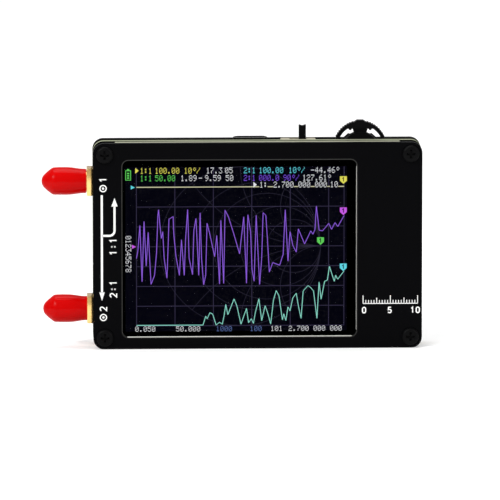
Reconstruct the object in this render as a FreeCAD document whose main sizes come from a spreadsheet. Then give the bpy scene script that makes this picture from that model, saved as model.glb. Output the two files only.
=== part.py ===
import FreeCAD, Part
import math
import os
import re
import Sketcher
from FreeCAD import Vector

# Handheld antenna analyzer: three boards screwed together as an open sandwich, a
# display behind the front board's window, two capped coaxial ports on the left edge,
# and a charging port, a slide switch and a jog lever on the top edge.
# Millimetres. +X right and -Y towards the user, +Z up. The origin is the middle of
# the main board's bottom edge, halfway through its thickness.

SIZES = [
    # the three boards
    ("case_width", 85.5),
    ("case_height", 54.0),
    ("corner_radius", 2.8),
    ("panel_thick", 1.6),
    ("board_thick", 1.6),
    ("cover_thick", 1.2),
    ("front_gap", 3.1),
    ("rear_gap", 3.5),
    # screws, spacers and standoffs in the four corners
    ("screw_inset", 3.0),
    ("screw_diameter", 2.5),
    ("screw_clearance", 0.1),
    ("thread_clearance", 0.03),
    ("head_diameter", 4.4),
    ("head_height", 0.9),
    ("head_chamfer", 0.25),
    ("front_screw_bite", 1.6),
    ("rear_screw_bite", 1.7),
    ("spacer_diameter", 4.5),
    ("standoff_across", 4.5),
    # window in the front board
    ("window_left", 7.6),
    ("window_bottom", 3.1),
    ("window_right", 17.1),
    ("window_top", 4.5),
    ("window_radius", 1.6),
    # display module
    ("module_left", 5.6),
    ("module_bottom", 0.8),
    ("module_right", 10.7),
    ("module_top", 3.2),
    ("tray_floor", 0.2),
    ("tray_wall", 0.5),
    ("glass_clearance", 0.1),
    ("guide_thick", 0.7),
    ("glass_thick", 1.1),
    ("ledge_width", 3.4),
    ("ledge_drop", 0.55),
    ("touch_thick", 0.9),
    ("touch_margin", 0.5),
    ("gasket_width", 1.0),
    # flat ribbons of the display and of the touch layer
    ("ribbon_thick", 0.12),
    ("ribbon_width", 24.0),
    ("ribbon_reach", 4.2),
    ("ribbon_foot", 1.6),
    ("ribbon_bond", 2.0),
    ("ribbon_notch_gap", 0.4),
    ("touch_ribbon_width", 5.0),
    ("touch_ribbon_drop", 4.2),
    ("touch_ribbon_reach", 2.6),
    # coaxial ports on the left edge
    ("port_drop", 10.5),
    ("port_rise", 10.0),
    ("flange_side", 7.0),
    ("flange_thick", 1.6),
    ("flange_round", 0.3),
    ("relief_diameter", 5.4),
    ("relief_length", 2.6),
    ("barrel_diameter", 6.35),
    ("barrel_length", 8.6),
    ("barrel_chamfer", 0.4),
    ("mouth_diameter", 4.6),
    ("mouth_depth", 2.0),
    ("insulator_diameter", 4.1),
    ("contact_diameter", 1.27),
    ("contact_hole", 0.9),
    ("contact_hole_depth", 3.0),
    ("leg_side", 1.0),
    ("leg_length", 4.0),
    ("leg_offset", 2.55),
    # dust caps on the ports
    ("cap_length", 11.5),
    ("cap_diameter", 7.5),
    ("cap_mouth_diameter", 6.95),
    ("cap_clearance", 0.05),
    ("cap_end_gap", 0.3),
    ("cap_swell_start", 3.2),
    ("cap_nose_length", 3.3),
    ("cap_nose_diameter", 3.4),
    ("cap_nose_round", 1.2),
    ("upper_cap_gap", 0.35),
    ("lower_cap_gap", 0.05),
    # charging port
    ("usb_place", -1.75),
    ("usb_width", 8.94),
    ("usb_depth", 3.26),
    ("usb_length", 7.35),
    ("usb_wall", 0.3),
    ("usb_proud", 0.6),
    ("usb_rear_wall", 1.0),
    ("tongue_width", 6.7),
    ("tongue_thick", 0.7),
    ("tongue_inset", 0.9),
    ("usb_pad_pitch", 0.5),
    ("usb_pad_width", 0.24),
    ("usb_pad_thick", 0.05),
    ("usb_pad_length", 3.2),
    ("usb_pad_count", 12),
    # slide switch
    ("switch_place", 10.75),
    ("switch_width", 9.2),
    ("switch_depth", 3.3),
    ("switch_height", 4.3),
    ("switch_wall", 0.3),
    ("switch_slot", 4.44),
    ("switch_base_thick", 0.9),
    ("lever_width", 1.84),
    ("lever_depth", 1.6),
    ("lever_rise", 3.7),
    ("lever_offset", 1.1),
    ("lever_notch", 0.3),
    ("lever_shoe_width", 3.6),
    ("lever_shoe_height", 1.4),
    ("lever_gap", 0.1),
    ("switch_travel", 2.2),
    ("pin_width", 0.5),
    ("pin_thick", 0.25),
    ("pin_pitch", 2.5),
    ("pin_drop", 1.4),
    # jog lever switch
    ("jog_margin", 15.85),
    ("jog_pivot_drop", 2.3),
    ("jog_housing_radius", 5.1),
    ("jog_dome_drop", 1.0),
    ("jog_housing_height", 5.2),
    ("jog_floor", 0.7),
    ("jog_cavity", 1.8),
    ("jog_wall", 0.9),
    ("jog_cover_thick", 0.3),
    ("jog_tab_height", 2.4),
    ("jog_slot_width", 5.5),
    ("rim_radius", 6.82),
    ("rim_thick", 0.87),
    ("rim_depth", 2.2),
    ("rim_front", 1.3),
    ("rim_end_drop", 0.4),
    ("tooth_height", 0.16),
    ("tooth_base", 0.5),
    ("tooth_tip", 0.26),
    ("tooth_sink", 0.15),
    ("tooth_pitch", 5.9),
    ("tooth_start", 17.0),
    ("tooth_count", 9),
    ("nub_top", 1.6),
    ("nub_base", 3.4),
    ("nub_height", 0.32),
    ("stem_width", 3.3),
    ("stem_flare", 4.2),
    ("stem_depth", 1.0),
    ("stem_play", 0.1),
    ("web_level", 4.95),
    ("web_width", 6.8),
    ("stem_shoulder", 3.9),
    ("lobe_place", 2.6),
    ("lobe_radius", 0.4),
    ("hub_radius", 2.2),
    ("pivot_diameter", 0.9),
    ("pivot_clearance", 0.05),
    ("slider_width", 4.4),
    ("slider_depth", 0.55),
    ("slider_top", 1.1),
    ("slider_side_gap", 0.05),
    ("push_travel", 0.5),
    ("push_clearance", 0.06),
    ("leaf_thick", 0.12),
    ("leaf_rise", 0.5),
    ("leaf_width", 1.5),
    ("jog_foot_width", 0.7),
    ("jog_foot_length", 1.2),
    ("jog_foot_thick", 0.15),
    ("jog_foot_pitch", 3.0),
    # battery, its leads and its connector
    ("battery_left", 25.75),
    ("battery_right", 13.75),
    ("battery_bottom", 4.0),
    ("battery_top", 18.0),
    ("battery_thick", 3.0),
    ("battery_round", 1.2),
    ("battery_tape", 0.3),
    ("lead_diameter", 1.0),
    ("lead_spacing", 2.0),
    ("lead_inner_bend", 3.5),
    ("lead_level", 12.0),
    ("lead_run", 1.0),
    ("plug_width", 5.6),
    ("plug_height", 4.0),
    ("plug_depth", 2.2),
    ("plug_drop", 21.0),
    ("plug_clearance", 0.05),
    ("socket_wall", 0.5),
    ("socket_height", 5.0),
    ("socket_cavity", 2.6),
    ("socket_end_gap", 0.1),
    # chips and small parts on the rear of the main board
    ("processor_side", 7.0),
    ("processor_thick", 1.4),
    ("processor_place", 6.5),
    ("processor_drop", 11.4),
    ("processor_chamfer", 0.15),
    ("shield_side", 19.0),
    ("shield_left", 4.75),
    ("shield_rise", 5.0),
    ("shield_drop", 24.5),
    ("shield_depth", 2.2),
    ("shield_wall", 0.2),
    ("shield_round", 0.5),
    ("crystal_length", 5.0),
    ("crystal_width", 3.2),
    ("crystal_thick", 1.0),
    ("crystal_place", -12.0),
    ("crystal_drop", 5.4),
    ("chip_side", 4.0),
    ("chip_thick", 0.9),
    ("chip_drop", 14.0),
    ("chip_space", 8.0),
    ("small_part_length", 1.0),
    ("small_part_width", 0.5),
    ("small_part_thick", 0.45),
    ("small_part_left", -15.0),
    ("small_part_drop", 16.6),
    ("small_part_pitch", 3.0),
    ("small_part_count", 12),
]

doc = FreeCAD.newDocument("antenna_analyzer")
sheet = doc.addObject("Spreadsheet::Sheet", "Sizes")
for row, (alias, number) in enumerate(SIZES, 1):
    sheet.set("A%d" % row, alias)
    sheet.set("B%d" % row, str(number))
    sheet.setAlias("B%d" % row, alias)
doc.recompute()

ALIASES = {alias for alias, number in SIZES}
nodes = []


def cells(text):
    """The expression with every size name pointing at its cell of the sheet."""
    return re.sub(r"[a-z_]+", lambda word: "Sizes." + word[0] if word[0] in ALIASES else word[0], text)


def value(text):
    """The number that an expression has now."""
    return float(sheet.evalExpression(cells(text)))


def bind(thing, prop, text):
    """Bind one property of a document object to an expression of the sizes."""
    thing.setExpression(prop, cells(text))


def place(thing, x, y, z):
    for axis, text in zip("xyz", (x, y, z)):
        bind(thing, "Placement.Base." + axis, text)


def new_body(name, x="0", y="0", z="0"):
    """A body that becomes a piece of the analyzer."""
    made = doc.addObject("PartDesign::Body", name)
    made.Label = name
    place(made, x, y, z)
    nodes.append(made)
    return made


def sketch(owner, plane, out="0"):
    """A sketch on one of its body's own origin planes, moved out along the plane's normal."""
    made = owner.newObject("Sketcher::SketchObject", owner.Label + "_sketch")
    base = [p for p in owner.Origin.OriginFeatures if p.Role == plane + "_Plane"][0]
    made.AttachmentSupport = [(base, "")]
    made.MapMode = "FlatFace"
    bind(made, "AttachmentOffset.Base.z", out)
    return made


def hold(drawn, kind, element, point, text):
    """Hold one point of an element at a distance from the sketch's origin."""
    index = drawn.addConstraint(Sketcher.Constraint(kind, -1, 1, element, point, value(text)))
    drawn.setExpression("Constraints[%d]" % index, cells(text))


def outline(drawn, corners):
    """A closed outline with straight sides through corners given as pairs of expressions."""
    points = [Vector(value(u), value(v), 0) for u, v in corners]
    first = drawn.GeometryCount
    for here, there in zip(points, points[1:] + points[:1]):
        drawn.addGeometry(Part.LineSegment(here, there), False)
    for i in range(len(points)):
        after = first + (i + 1) % len(points)
        drawn.addConstraint(Sketcher.Constraint("Coincident", first + i, 2, after, 1))
    for i, (u, v) in enumerate(corners):
        hold(drawn, "DistanceX", first + i, 1, u)
        hold(drawn, "DistanceY", first + i, 1, v)


def rectangle(drawn, left, bottom, width, height):
    right = "(%s) + (%s)" % (left, width)
    top = "(%s) + (%s)" % (bottom, height)
    outline(drawn, [(left, bottom), (right, bottom), (right, top), (left, top)])


def circle(drawn, radius, u="0", v="0"):
    middle = Vector(value(u), value(v), 0)
    element = drawn.addGeometry(Part.Circle(middle, Vector(0, 0, 1), value(radius)), False)
    index = drawn.addConstraint(Sketcher.Constraint("Radius", element, value(radius)))
    drawn.setExpression("Constraints[%d]" % index, cells(radius))
    hold(drawn, "DistanceX", element, 3, u)
    hold(drawn, "DistanceY", element, 3, v)


def hexagon(drawn, across, u, v):
    """A hexagon with flats at top and bottom, given the distance across its flats."""
    half = "(%s) / 2" % across
    point = "(%s) / sqrt(3)" % across
    corners = ((point, "0"), (point + " / 2", half), ("-" + point + " / 2", half),
               ("-" + point, "0"), ("-" + point + " / 2", "-" + half), (point + " / 2", "-" + half))
    outline(drawn, [("%s + %s" % (u, du), "%s + %s" % (v, dv)) for du, dv in corners])


def stadium(drawn, width, height):
    """A flat oval about the sketch's origin: two half circles joined by straight sides."""
    radius = value(height) / 2
    reach = value(width) / 2 - radius
    quarter = math.pi / 2
    right = drawn.addGeometry(
        Part.ArcOfCircle(Part.Circle(Vector(reach, 0, 0), Vector(0, 0, 1), radius), -quarter, quarter), False)
    left = drawn.addGeometry(
        Part.ArcOfCircle(Part.Circle(Vector(-reach, 0, 0), Vector(0, 0, 1), radius), quarter, 3 * quarter), False)
    top = drawn.addGeometry(Part.LineSegment(Vector(reach, radius, 0), Vector(-reach, radius, 0)), False)
    bottom = drawn.addGeometry(Part.LineSegment(Vector(-reach, -radius, 0), Vector(reach, -radius, 0)), False)
    for one, end, other, start in ((right, 2, top, 1), (top, 2, left, 1), (left, 2, bottom, 1), (bottom, 2, right, 1)):
        drawn.addConstraint(Sketcher.Constraint("Tangent", one, end, other, start))
    drawn.addConstraint(Sketcher.Constraint("Equal", right, left))
    half = "(%s) / 2" % height
    index = drawn.addConstraint(Sketcher.Constraint("Radius", right, radius))
    drawn.setExpression("Constraints[%d]" % index, cells(half))
    hold(drawn, "DistanceX", right, 3, "(%s) / 2 - %s" % (width, half))
    hold(drawn, "DistanceX", left, 3, "%s - (%s) / 2" % (half, width))
    drawn.addConstraint(Sketcher.Constraint("PointOnObject", right, 3, -1))


def pad(owner, drawn, length, reverse=False):
    """Raise a sketch: along its normal, or against it."""
    made = owner.newObject("PartDesign::Pad", owner.Label + "_pad")
    made.Profile = drawn
    made.Reversed = reverse
    bind(made, "Length", length)
    doc.recompute()
    return made


def pocket(owner, drawn, depth, reverse=False):
    """Cut a sketch against its normal, or along it, and check that it removes something."""
    before = owner.Shape.Volume
    made = owner.newObject("PartDesign::Pocket", owner.Label + "_pocket")
    made.Profile = drawn
    made.Reversed = reverse
    bind(made, "Length", depth)
    doc.recompute()
    if owner.Shape.Volume >= before - 1e-6:
        raise RuntimeError(owner.Label + ": a pocket removes nothing")
    return made


def revolve(owner, drawn, axis):
    made = owner.newObject("PartDesign::Revolution", owner.Label + "_turn")
    made.Profile = drawn
    made.ReferenceAxis = (drawn, [axis])
    made.Angle = 360
    doc.recompute()
    return made


def groove(owner, drawn, axis):
    before = owner.Shape.Volume
    made = owner.newObject("PartDesign::Groove", owner.Label + "_groove")
    made.Profile = drawn
    made.ReferenceAxis = (drawn, [axis])
    made.Angle = 360
    doc.recompute()
    if owner.Shape.Volume >= before - 1e-6:
        raise RuntimeError(owner.Label + ": a groove removes nothing")
    return made


def pick(feature, test):
    """The names of the edges that pass the test."""
    return ["Edge%d" % (i + 1) for i, edge in enumerate(feature.Shape.Edges) if test(edge)]


def runs_along(edge, axis):
    """Whether an edge is a straight line along one of the axes X, Y and Z."""
    if edge.Curve.TypeId != "Part::GeomLine":
        return False
    way = edge.tangentAt(edge.FirstParameter)
    return abs(abs(way["XYZ".index(axis)]) - 1) < 1e-6


def round_off(owner, feature, radius, test, kind="Fillet"):
    """Round or break the chosen edges of the body's last feature."""
    names = pick(feature, test)
    if not names:
        raise RuntimeError(owner.Label + ": no edge to round")
    made = owner.newObject("PartDesign::" + kind, owner.Label + "_" + kind.lower())
    made.Base = (feature, names)
    bind(made, "Radius" if kind == "Fillet" else "Size", radius)
    doc.recompute()
    return made


def block(name, x, y, z, length, width, height):
    """A plain block from its lowest corner."""
    made = doc.addObject("Part::Box", name)
    place(made, x, y, z)
    for prop, text in (("Length", length), ("Width", width), ("Height", height)):
        bind(made, prop, text)
    return made


def gather(name, pieces):
    """Several separate solids kept as one piece of the analyzer."""
    made = doc.addObject("Part::Compound", name)
    made.Label = name
    made.Links = pieces
    nodes.append(made)
    return made


# Faces of the sandwich along Y.
BOARD_FRONT = "(-board_thick / 2)"
BOARD_BACK = "(board_thick / 2)"
PANEL_BACK = "(-board_thick / 2 - front_gap)"
PANEL_FRONT = "(-board_thick / 2 - front_gap - panel_thick)"
COVER_FRONT = "(board_thick / 2 + rear_gap)"
COVER_BACK = "(board_thick / 2 + rear_gap + cover_thick)"
LEFT_EDGE = "(-case_width / 2)"
PORT_UPPER = "(case_height - port_drop)"
PORT_LOWER = "port_rise"
JOG_X = "(case_width / 2 - jog_margin)"
JOG_Z = "(case_height - jog_pivot_drop)"

CORNERS = [
    (side + "(case_width / 2 - screw_inset)", level)
    for side in ("-", "")
    for level in ("screw_inset", "case_height - screw_inset")
]


def board(name, back, thick, corner_hole):
    """One board of the sandwich: rounded corners and a screw hole in each."""
    owner = new_body(name, y=back)
    drawn = sketch(owner, "XZ")
    rectangle(drawn, LEFT_EDGE, "0", "case_width", "case_height")
    plate = pad(owner, drawn, thick)
    plate = round_off(owner, plate, "corner_radius", lambda edge: runs_along(edge, "Y"))
    holes = sketch(owner, "XZ")
    for x, z in CORNERS:
        circle(holes, corner_hole, x, z)
    pocket(owner, holes, thick, reverse=True)
    return owner


HOLE_RADIUS = "(screw_diameter / 2 + screw_clearance)"

# Front board with the window over the display.
front_panel = board("front_panel", PANEL_BACK, "panel_thick", HOLE_RADIUS)
WINDOW_LEFT = "(window_left - case_width / 2)"
WINDOW_WIDTH = "(case_width - window_left - window_right)"
WINDOW_HEIGHT = "(case_height - window_bottom - window_top)"
drawn = sketch(front_panel, "XZ")
rectangle(drawn, WINDOW_LEFT, "window_bottom", WINDOW_WIDTH, WINDOW_HEIGHT)
opening = pocket(front_panel, drawn, "panel_thick", reverse=True)
window_middle = Vector(value(WINDOW_LEFT + " + %s / 2" % WINDOW_WIDTH), 0, value("window_bottom + %s / 2" % WINDOW_HEIGHT))


def in_window(edge):
    if not runs_along(edge, "Y"):
        return False
    middle = edge.CenterOfMass
    near_x = abs(abs(middle.x - window_middle.x) - value(WINDOW_WIDTH + " / 2")) < 0.01
    near_z = abs(abs(middle.z - window_middle.z) - value(WINDOW_HEIGHT + " / 2")) < 0.01
    return near_x and near_z


round_off(front_panel, opening, "window_radius", in_window)

# Main board and plain back cover.
main_board = board("main_board", BOARD_BACK, "board_thick", HOLE_RADIUS)
back_panel = board("back_panel", COVER_BACK, "cover_thick", HOLE_RADIUS)


def corner_set(name, start, bands):
    """One round piece in each corner: bands of (radius, length) raised one after another along +Y."""
    owner = new_body(name, y=start)
    done = "0"
    for radius, length, inner in bands:
        drawn = sketch(owner, "XZ", "-(%s)" % done)
        for x, z in CORNERS:
            circle(drawn, radius, x, z)
            if inner:
                circle(drawn, inner, x, z)
        last = pad(owner, drawn, length, reverse=True)
        done = "%s + %s" % (done, length)
    return owner, last


def head_rim(edge, height):
    """Whether an edge is the outer rim of a screw's head at this height along Y."""
    if edge.Curve.TypeId != "Part::GeomCircle":
        return False
    wide = abs(edge.Curve.Radius - value("head_diameter / 2")) < 0.01
    return wide and abs(edge.CenterOfMass.y - height) < 0.01


# Spacers hold the front board off the main board and standoffs hold the cover off it.
BORE_RADIUS = "(screw_diameter / 2 + thread_clearance)"
corner_set("front_spacers", PANEL_BACK, [("spacer_diameter / 2", "front_gap", HOLE_RADIUS)])
rear_standoffs = new_body("rear_standoffs", y=BOARD_BACK)
drawn = sketch(rear_standoffs, "XZ")
for x, z in CORNERS:
    hexagon(drawn, "standoff_across", x, z)
    circle(drawn, BORE_RADIUS, x, z)
pad(rear_standoffs, drawn, "rear_gap", reverse=True)

# A front screw goes through the front board, its spacer and the main board into the
# standoff, and a rear screw comes to meet it through the cover.
FRONT_SHANK = "(panel_thick + front_gap + board_thick + front_screw_bite)"
front_screws, last = corner_set(
    "front_screws", PANEL_FRONT + " - head_height",
    [("head_diameter / 2", "head_height", None), ("screw_diameter / 2", FRONT_SHANK, None)])
round_off(front_screws, last, "head_chamfer", lambda edge: head_rim(edge, 0), kind="Chamfer")
REAR_SHANK = "(cover_thick + rear_screw_bite)"
rear_screws, last = corner_set(
    "rear_screws", COVER_BACK + " - " + REAR_SHANK,
    [("screw_diameter / 2", REAR_SHANK, None), ("head_diameter / 2", "head_height", None)])
head_top = value(REAR_SHANK + " + head_height")
round_off(rear_screws, last, "head_chamfer", lambda edge: head_rim(edge, head_top), kind="Chamfer")

# Display module between the front board and the main board, from the back to the
# front: steel tray, light guide, glass with a bonding ledge on its right, touch layer
# and a soft gasket round the window.
MODULE_LEFT = "(module_left - case_width / 2)"
MODULE_WIDTH = "(case_width - module_left - module_right)"
MODULE_HEIGHT = "(case_height - module_bottom - module_top)"
TRAY_DEPTH = "(tray_floor + guide_thick + glass_thick)"
INSET = "(tray_wall + glass_clearance)"
GLASS_WIDTH = "(%s - 2 * %s)" % (MODULE_WIDTH, INSET)
GLASS_HEIGHT = "(%s - 2 * %s)" % (MODULE_HEIGHT, INSET)
GLASS_RIGHT = "(%s + %s - %s)" % (MODULE_LEFT, MODULE_WIDTH, INSET)
RIBBON_BOTTOM = "(case_height / 2 - ribbon_width / 2)"
# What the stack leaves between the touch layer and the front board is the gasket's.
GASKET_THICK = "(front_gap - %s - touch_thick)" % TRAY_DEPTH

lcd_frame = new_body("lcd_frame", x=MODULE_LEFT, y=BOARD_FRONT, z="module_bottom")
drawn = sketch(lcd_frame, "XZ")
rectangle(drawn, "0", "0", MODULE_WIDTH, MODULE_HEIGHT)
pad(lcd_frame, drawn, TRAY_DEPTH)
drawn = sketch(lcd_frame, "XZ", "tray_floor")
rectangle(drawn, "tray_wall", "tray_wall", MODULE_WIDTH + " - 2 * tray_wall", MODULE_HEIGHT + " - 2 * tray_wall")
pocket(lcd_frame, drawn, "guide_thick + glass_thick", reverse=True)
drawn = sketch(lcd_frame, "XZ", "tray_floor + guide_thick")
rectangle(
    drawn, MODULE_WIDTH + " - 2 * tray_wall",
    RIBBON_BOTTOM + " - module_bottom - ribbon_notch_gap",
    "3 * tray_wall", "ribbon_width + 2 * ribbon_notch_gap")
pocket(lcd_frame, drawn, "glass_thick", reverse=True)

light_guide = new_body("light_guide", x=MODULE_LEFT + " + " + INSET, y=BOARD_FRONT + " - tray_floor",
                       z="module_bottom + " + INSET)
drawn = sketch(light_guide, "XZ")
rectangle(drawn, "0", "0", GLASS_WIDTH, GLASS_HEIGHT)
pad(light_guide, drawn, "guide_thick")

lcd_glass = new_body("lcd_glass", x=MODULE_LEFT + " + " + INSET, y=BOARD_FRONT + " - tray_floor - guide_thick",
                     z="module_bottom + " + INSET)
drawn = sketch(lcd_glass, "XZ")
rectangle(drawn, "0", "0", GLASS_WIDTH, GLASS_HEIGHT)
pad(lcd_glass, drawn, "glass_thick")
drawn = sketch(lcd_glass, "XZ", "glass_thick")
rectangle(drawn, GLASS_WIDTH + " - ledge_width", "0", "ledge_width", GLASS_HEIGHT)
pocket(lcd_glass, drawn, "ledge_drop")

TOUCH_WIDTH = "(%s - ledge_width - 2 * touch_margin)" % MODULE_WIDTH
touch_panel = new_body("touch_panel", x=MODULE_LEFT + " + touch_margin", y=BOARD_FRONT + " - " + TRAY_DEPTH,
                       z="module_bottom + touch_margin")
drawn = sketch(touch_panel, "XZ")
rectangle(drawn, "0", "0", TOUCH_WIDTH, MODULE_HEIGHT + " - 2 * touch_margin")
pad(touch_panel, drawn, "touch_thick")

gasket = new_body("display_gasket", y=PANEL_BACK + " + " + GASKET_THICK)
drawn = sketch(gasket, "XZ")
rectangle(drawn, WINDOW_LEFT + " - gasket_width", "window_bottom - gasket_width",
          WINDOW_WIDTH + " + 2 * gasket_width", WINDOW_HEIGHT + " + 1.5 * gasket_width")
rectangle(drawn, WINDOW_LEFT, "window_bottom", WINDOW_WIDTH, WINDOW_HEIGHT)
pad(gasket, drawn, GASKET_THICK)

# The display's ribbon starts on the glass's ledge, passes the notch in the tray and
# bends down to the main board, where its foot is soldered.
LEDGE_FACE = "(%s - tray_floor - guide_thick - glass_thick + ledge_drop)" % BOARD_FRONT


def ribbon(name, start, face, reach, bottom, width, bond):
    """A flat ribbon seen along Z: a bonded end, a slope with two bends, and a soldered foot."""
    owner = new_body(name, x=start, z=bottom)
    drawn = sketch(owner, "XY")
    near = "(%s)" % face
    far = BOARD_FRONT
    slope = "(%s - %s)" % (far, near)
    outline(drawn, [
        ("-(%s)" % bond, near),
        ("-(%s)" % bond, near + " - ribbon_thick"),
        ("(%s) - %s * 0.8" % (reach, slope), near + " - ribbon_thick"),
        (reach, far + " - ribbon_thick"),
        ("(%s) + ribbon_foot" % reach, far + " - ribbon_thick"),
        ("(%s) + ribbon_foot" % reach, far),
        ("(%s) - ribbon_thick * 0.5" % reach, far),
        ("(%s) - %s * 0.8 - ribbon_thick * 0.5" % (reach, slope), near),
    ])
    last = pad(owner, drawn, width)
    bends = [value(x) for x in ("(%s) - %s * 0.8" % (reach, slope), reach,
                                "(%s) - ribbon_thick * 0.5" % reach,
                                "(%s) - %s * 0.8 - ribbon_thick * 0.5" % (reach, slope))]

    def at_bend(edge):
        if not runs_along(edge, "Z"):
            return False
        return min(abs(edge.CenterOfMass.x - bend) for bend in bends) < 0.001

    round_off(owner, last, "ribbon_thick * 2", at_bend)
    return owner


ribbon("lcd_ribbon", GLASS_RIGHT, LEDGE_FACE, "ribbon_reach", RIBBON_BOTTOM, "ribbon_width", "ribbon_bond")
TOUCH_RIGHT = "(%s + touch_margin + %s)" % (MODULE_LEFT, TOUCH_WIDTH)
TOUCH_TAIL = "(%s - %s)" % (GLASS_RIGHT, TOUCH_RIGHT)
ribbon("touch_ribbon", TOUCH_RIGHT, BOARD_FRONT + " - " + TRAY_DEPTH, TOUCH_TAIL + " + touch_ribbon_reach",
       "module_bottom + %s - touch_ribbon_drop - touch_ribbon_width / 2" % MODULE_HEIGHT, "touch_ribbon_width", "0")


# Coaxial ports: a square flange against the board's edge, four legs that straddle the
# board, and a round barrel with a relief behind its threaded length.
def port(number, level):
    shell = new_body("sma_shell_%d" % number, x=LEFT_EDGE, z=level)
    drawn = sketch(shell, "YZ")
    rectangle(drawn, "-flange_side / 2", "-flange_side / 2", "flange_side", "flange_side")
    last = pad(shell, drawn, "flange_thick", reverse=True)
    last = round_off(shell, last, "flange_round", lambda edge: runs_along(edge, "X"))
    drawn = sketch(shell, "XZ")
    relief_end = "-(flange_thick + relief_length)"
    mouth = "-(flange_thick + barrel_length)"
    step = mouth + " + mouth_depth"
    outline(drawn, [
        ("-flange_thick / 2", "0"),
        ("-flange_thick / 2", "relief_diameter / 2"),
        (relief_end, "relief_diameter / 2"),
        (relief_end, "barrel_diameter / 2"),
        (mouth + " + barrel_chamfer", "barrel_diameter / 2"),
        (mouth, "barrel_diameter / 2 - barrel_chamfer"),
        (mouth, "0"),
    ])
    revolve(shell, drawn, "H_Axis")
    drawn = sketch(shell, "XZ")
    outline(drawn, [
        ("0", "0"),
        ("0", "insulator_diameter / 2"),
        (step, "insulator_diameter / 2"),
        (step, "mouth_diameter / 2"),
        (mouth, "mouth_diameter / 2"),
        (mouth, "0"),
    ])
    groove(shell, drawn, "H_Axis")
    drawn = sketch(shell, "YZ")
    for front in (BOARD_FRONT + " - leg_side", BOARD_BACK):
        for side in ("leg_offset", "-leg_offset"):
            rectangle(drawn, front, side + " - leg_side / 2", "leg_side", "leg_side")
    pad(shell, drawn, "leg_length")

    insulator = new_body("sma_insulator_%d" % number, x=LEFT_EDGE, z=level)
    drawn = sketch(insulator, "XZ")
    outline(drawn, [
        ("0", "contact_diameter / 2"),
        ("0", "insulator_diameter / 2"),
        (step, "insulator_diameter / 2"),
        (step, "contact_diameter / 2"),
    ])
    revolve(insulator, drawn, "H_Axis")

    contact = new_body("sma_contact_%d" % number, x=LEFT_EDGE, z=level)
    drawn = sketch(contact, "XZ")
    tip = "%s - mouth_depth * 0.25" % step
    inner = "%s + contact_hole_depth" % tip
    outline(drawn, [
        ("0", "0"),
        ("0", "contact_diameter / 2"),
        (tip, "contact_diameter / 2"),
        (tip, "contact_hole / 2"),
        (inner, "contact_hole / 2"),
        (inner, "0"),
    ])
    revolve(contact, drawn, "H_Axis")


# A dust cap slips over the barrel: thin at its mouth, widest over the middle, with a
# blunt nose. Its x runs from the mouth (0) to the nose (-cap_length).
def cap(number, level, gap):
    made = new_body("port_cap_%d" % number, x="%s - flange_thick - %s" % (LEFT_EDGE, gap), z=level)
    drawn = sketch(made, "XZ")
    bore = "(barrel_diameter / 2 + cap_clearance)"
    deep = "-(barrel_length - %s + cap_end_gap)" % gap
    shoulder = "-(cap_length - cap_nose_length)"
    outline(drawn, [
        ("0", bore),
        ("0", "cap_mouth_diameter / 2"),
        ("-cap_swell_start", "cap_diameter / 2"),
        (shoulder, "cap_diameter / 2"),
        ("-cap_length", "cap_nose_diameter / 2"),
        ("-cap_length", "0"),
        (deep, "0"),
        (deep, bore),
    ])
    last = revolve(made, drawn, "H_Axis")

    def ring_at(edge, place, radius):
        if edge.Curve.TypeId != "Part::GeomCircle":
            return False
        return abs(edge.CenterOfMass.x - value(place)) < 0.01 and abs(edge.Curve.Radius - value(radius)) < 0.01

    round_off(made, last, "cap_nose_round", lambda edge: ring_at(edge, "-cap_length", "cap_nose_diameter / 2"))


port(1, PORT_UPPER)
port(2, PORT_LOWER)
cap(1, PORT_UPPER, "upper_cap_gap")
cap(2, PORT_LOWER, "lower_cap_gap")

# Charging port on the rear of the main board, its mouth just proud of the top edge.
USB_Y = "(%s + usb_depth / 2)" % BOARD_BACK
USB_Z = "(case_height + usb_proud - usb_length)"
usb_shell = new_body("usb_shell", x="usb_place", y=USB_Y, z=USB_Z)
drawn = sketch(usb_shell, "XY")
stadium(drawn, "usb_width", "usb_depth")
pad(usb_shell, drawn, "usb_length")
drawn = sketch(usb_shell, "XY", "usb_length")
stadium(drawn, "usb_width - 2 * usb_wall", "usb_depth - 2 * usb_wall")
pocket(usb_shell, drawn, "usb_length - usb_rear_wall")

TONGUE_LENGTH = "(usb_length - usb_rear_wall - tongue_inset)"
block_tongue = block(
    "usb_tongue", "usb_place - tongue_width / 2", USB_Y + " - tongue_thick / 2", USB_Z + " + usb_rear_wall",
    "tongue_width", "tongue_thick", TONGUE_LENGTH)
nodes.append(block_tongue)

usb_contacts = new_body("usb_contacts", x="usb_place", y=USB_Y,
                        z="%s + usb_rear_wall + %s - usb_pad_length - usb_pad_width" % (USB_Z, TONGUE_LENGTH))
drawn = sketch(usb_contacts, "XY")
first_pad = "-(usb_pad_count - 1) / 2 * usb_pad_pitch - usb_pad_width / 2"
for side in ("tongue_thick / 2", "-tongue_thick / 2 - usb_pad_thick"):
    rectangle(drawn, first_pad, side, "usb_pad_width", "usb_pad_thick")
one_pair = pad(usb_contacts, drawn, "usb_pad_length")
row = usb_contacts.newObject("PartDesign::LinearPattern", "usb_contacts_row")
row.Originals = [one_pair]
row.Direction = (drawn, ["H_Axis"])
bind(row, "Length", "(usb_pad_count - 1) * usb_pad_pitch")
bind(row, "Occurrences", "usb_pad_count")
usb_contacts.Tip = row

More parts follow.
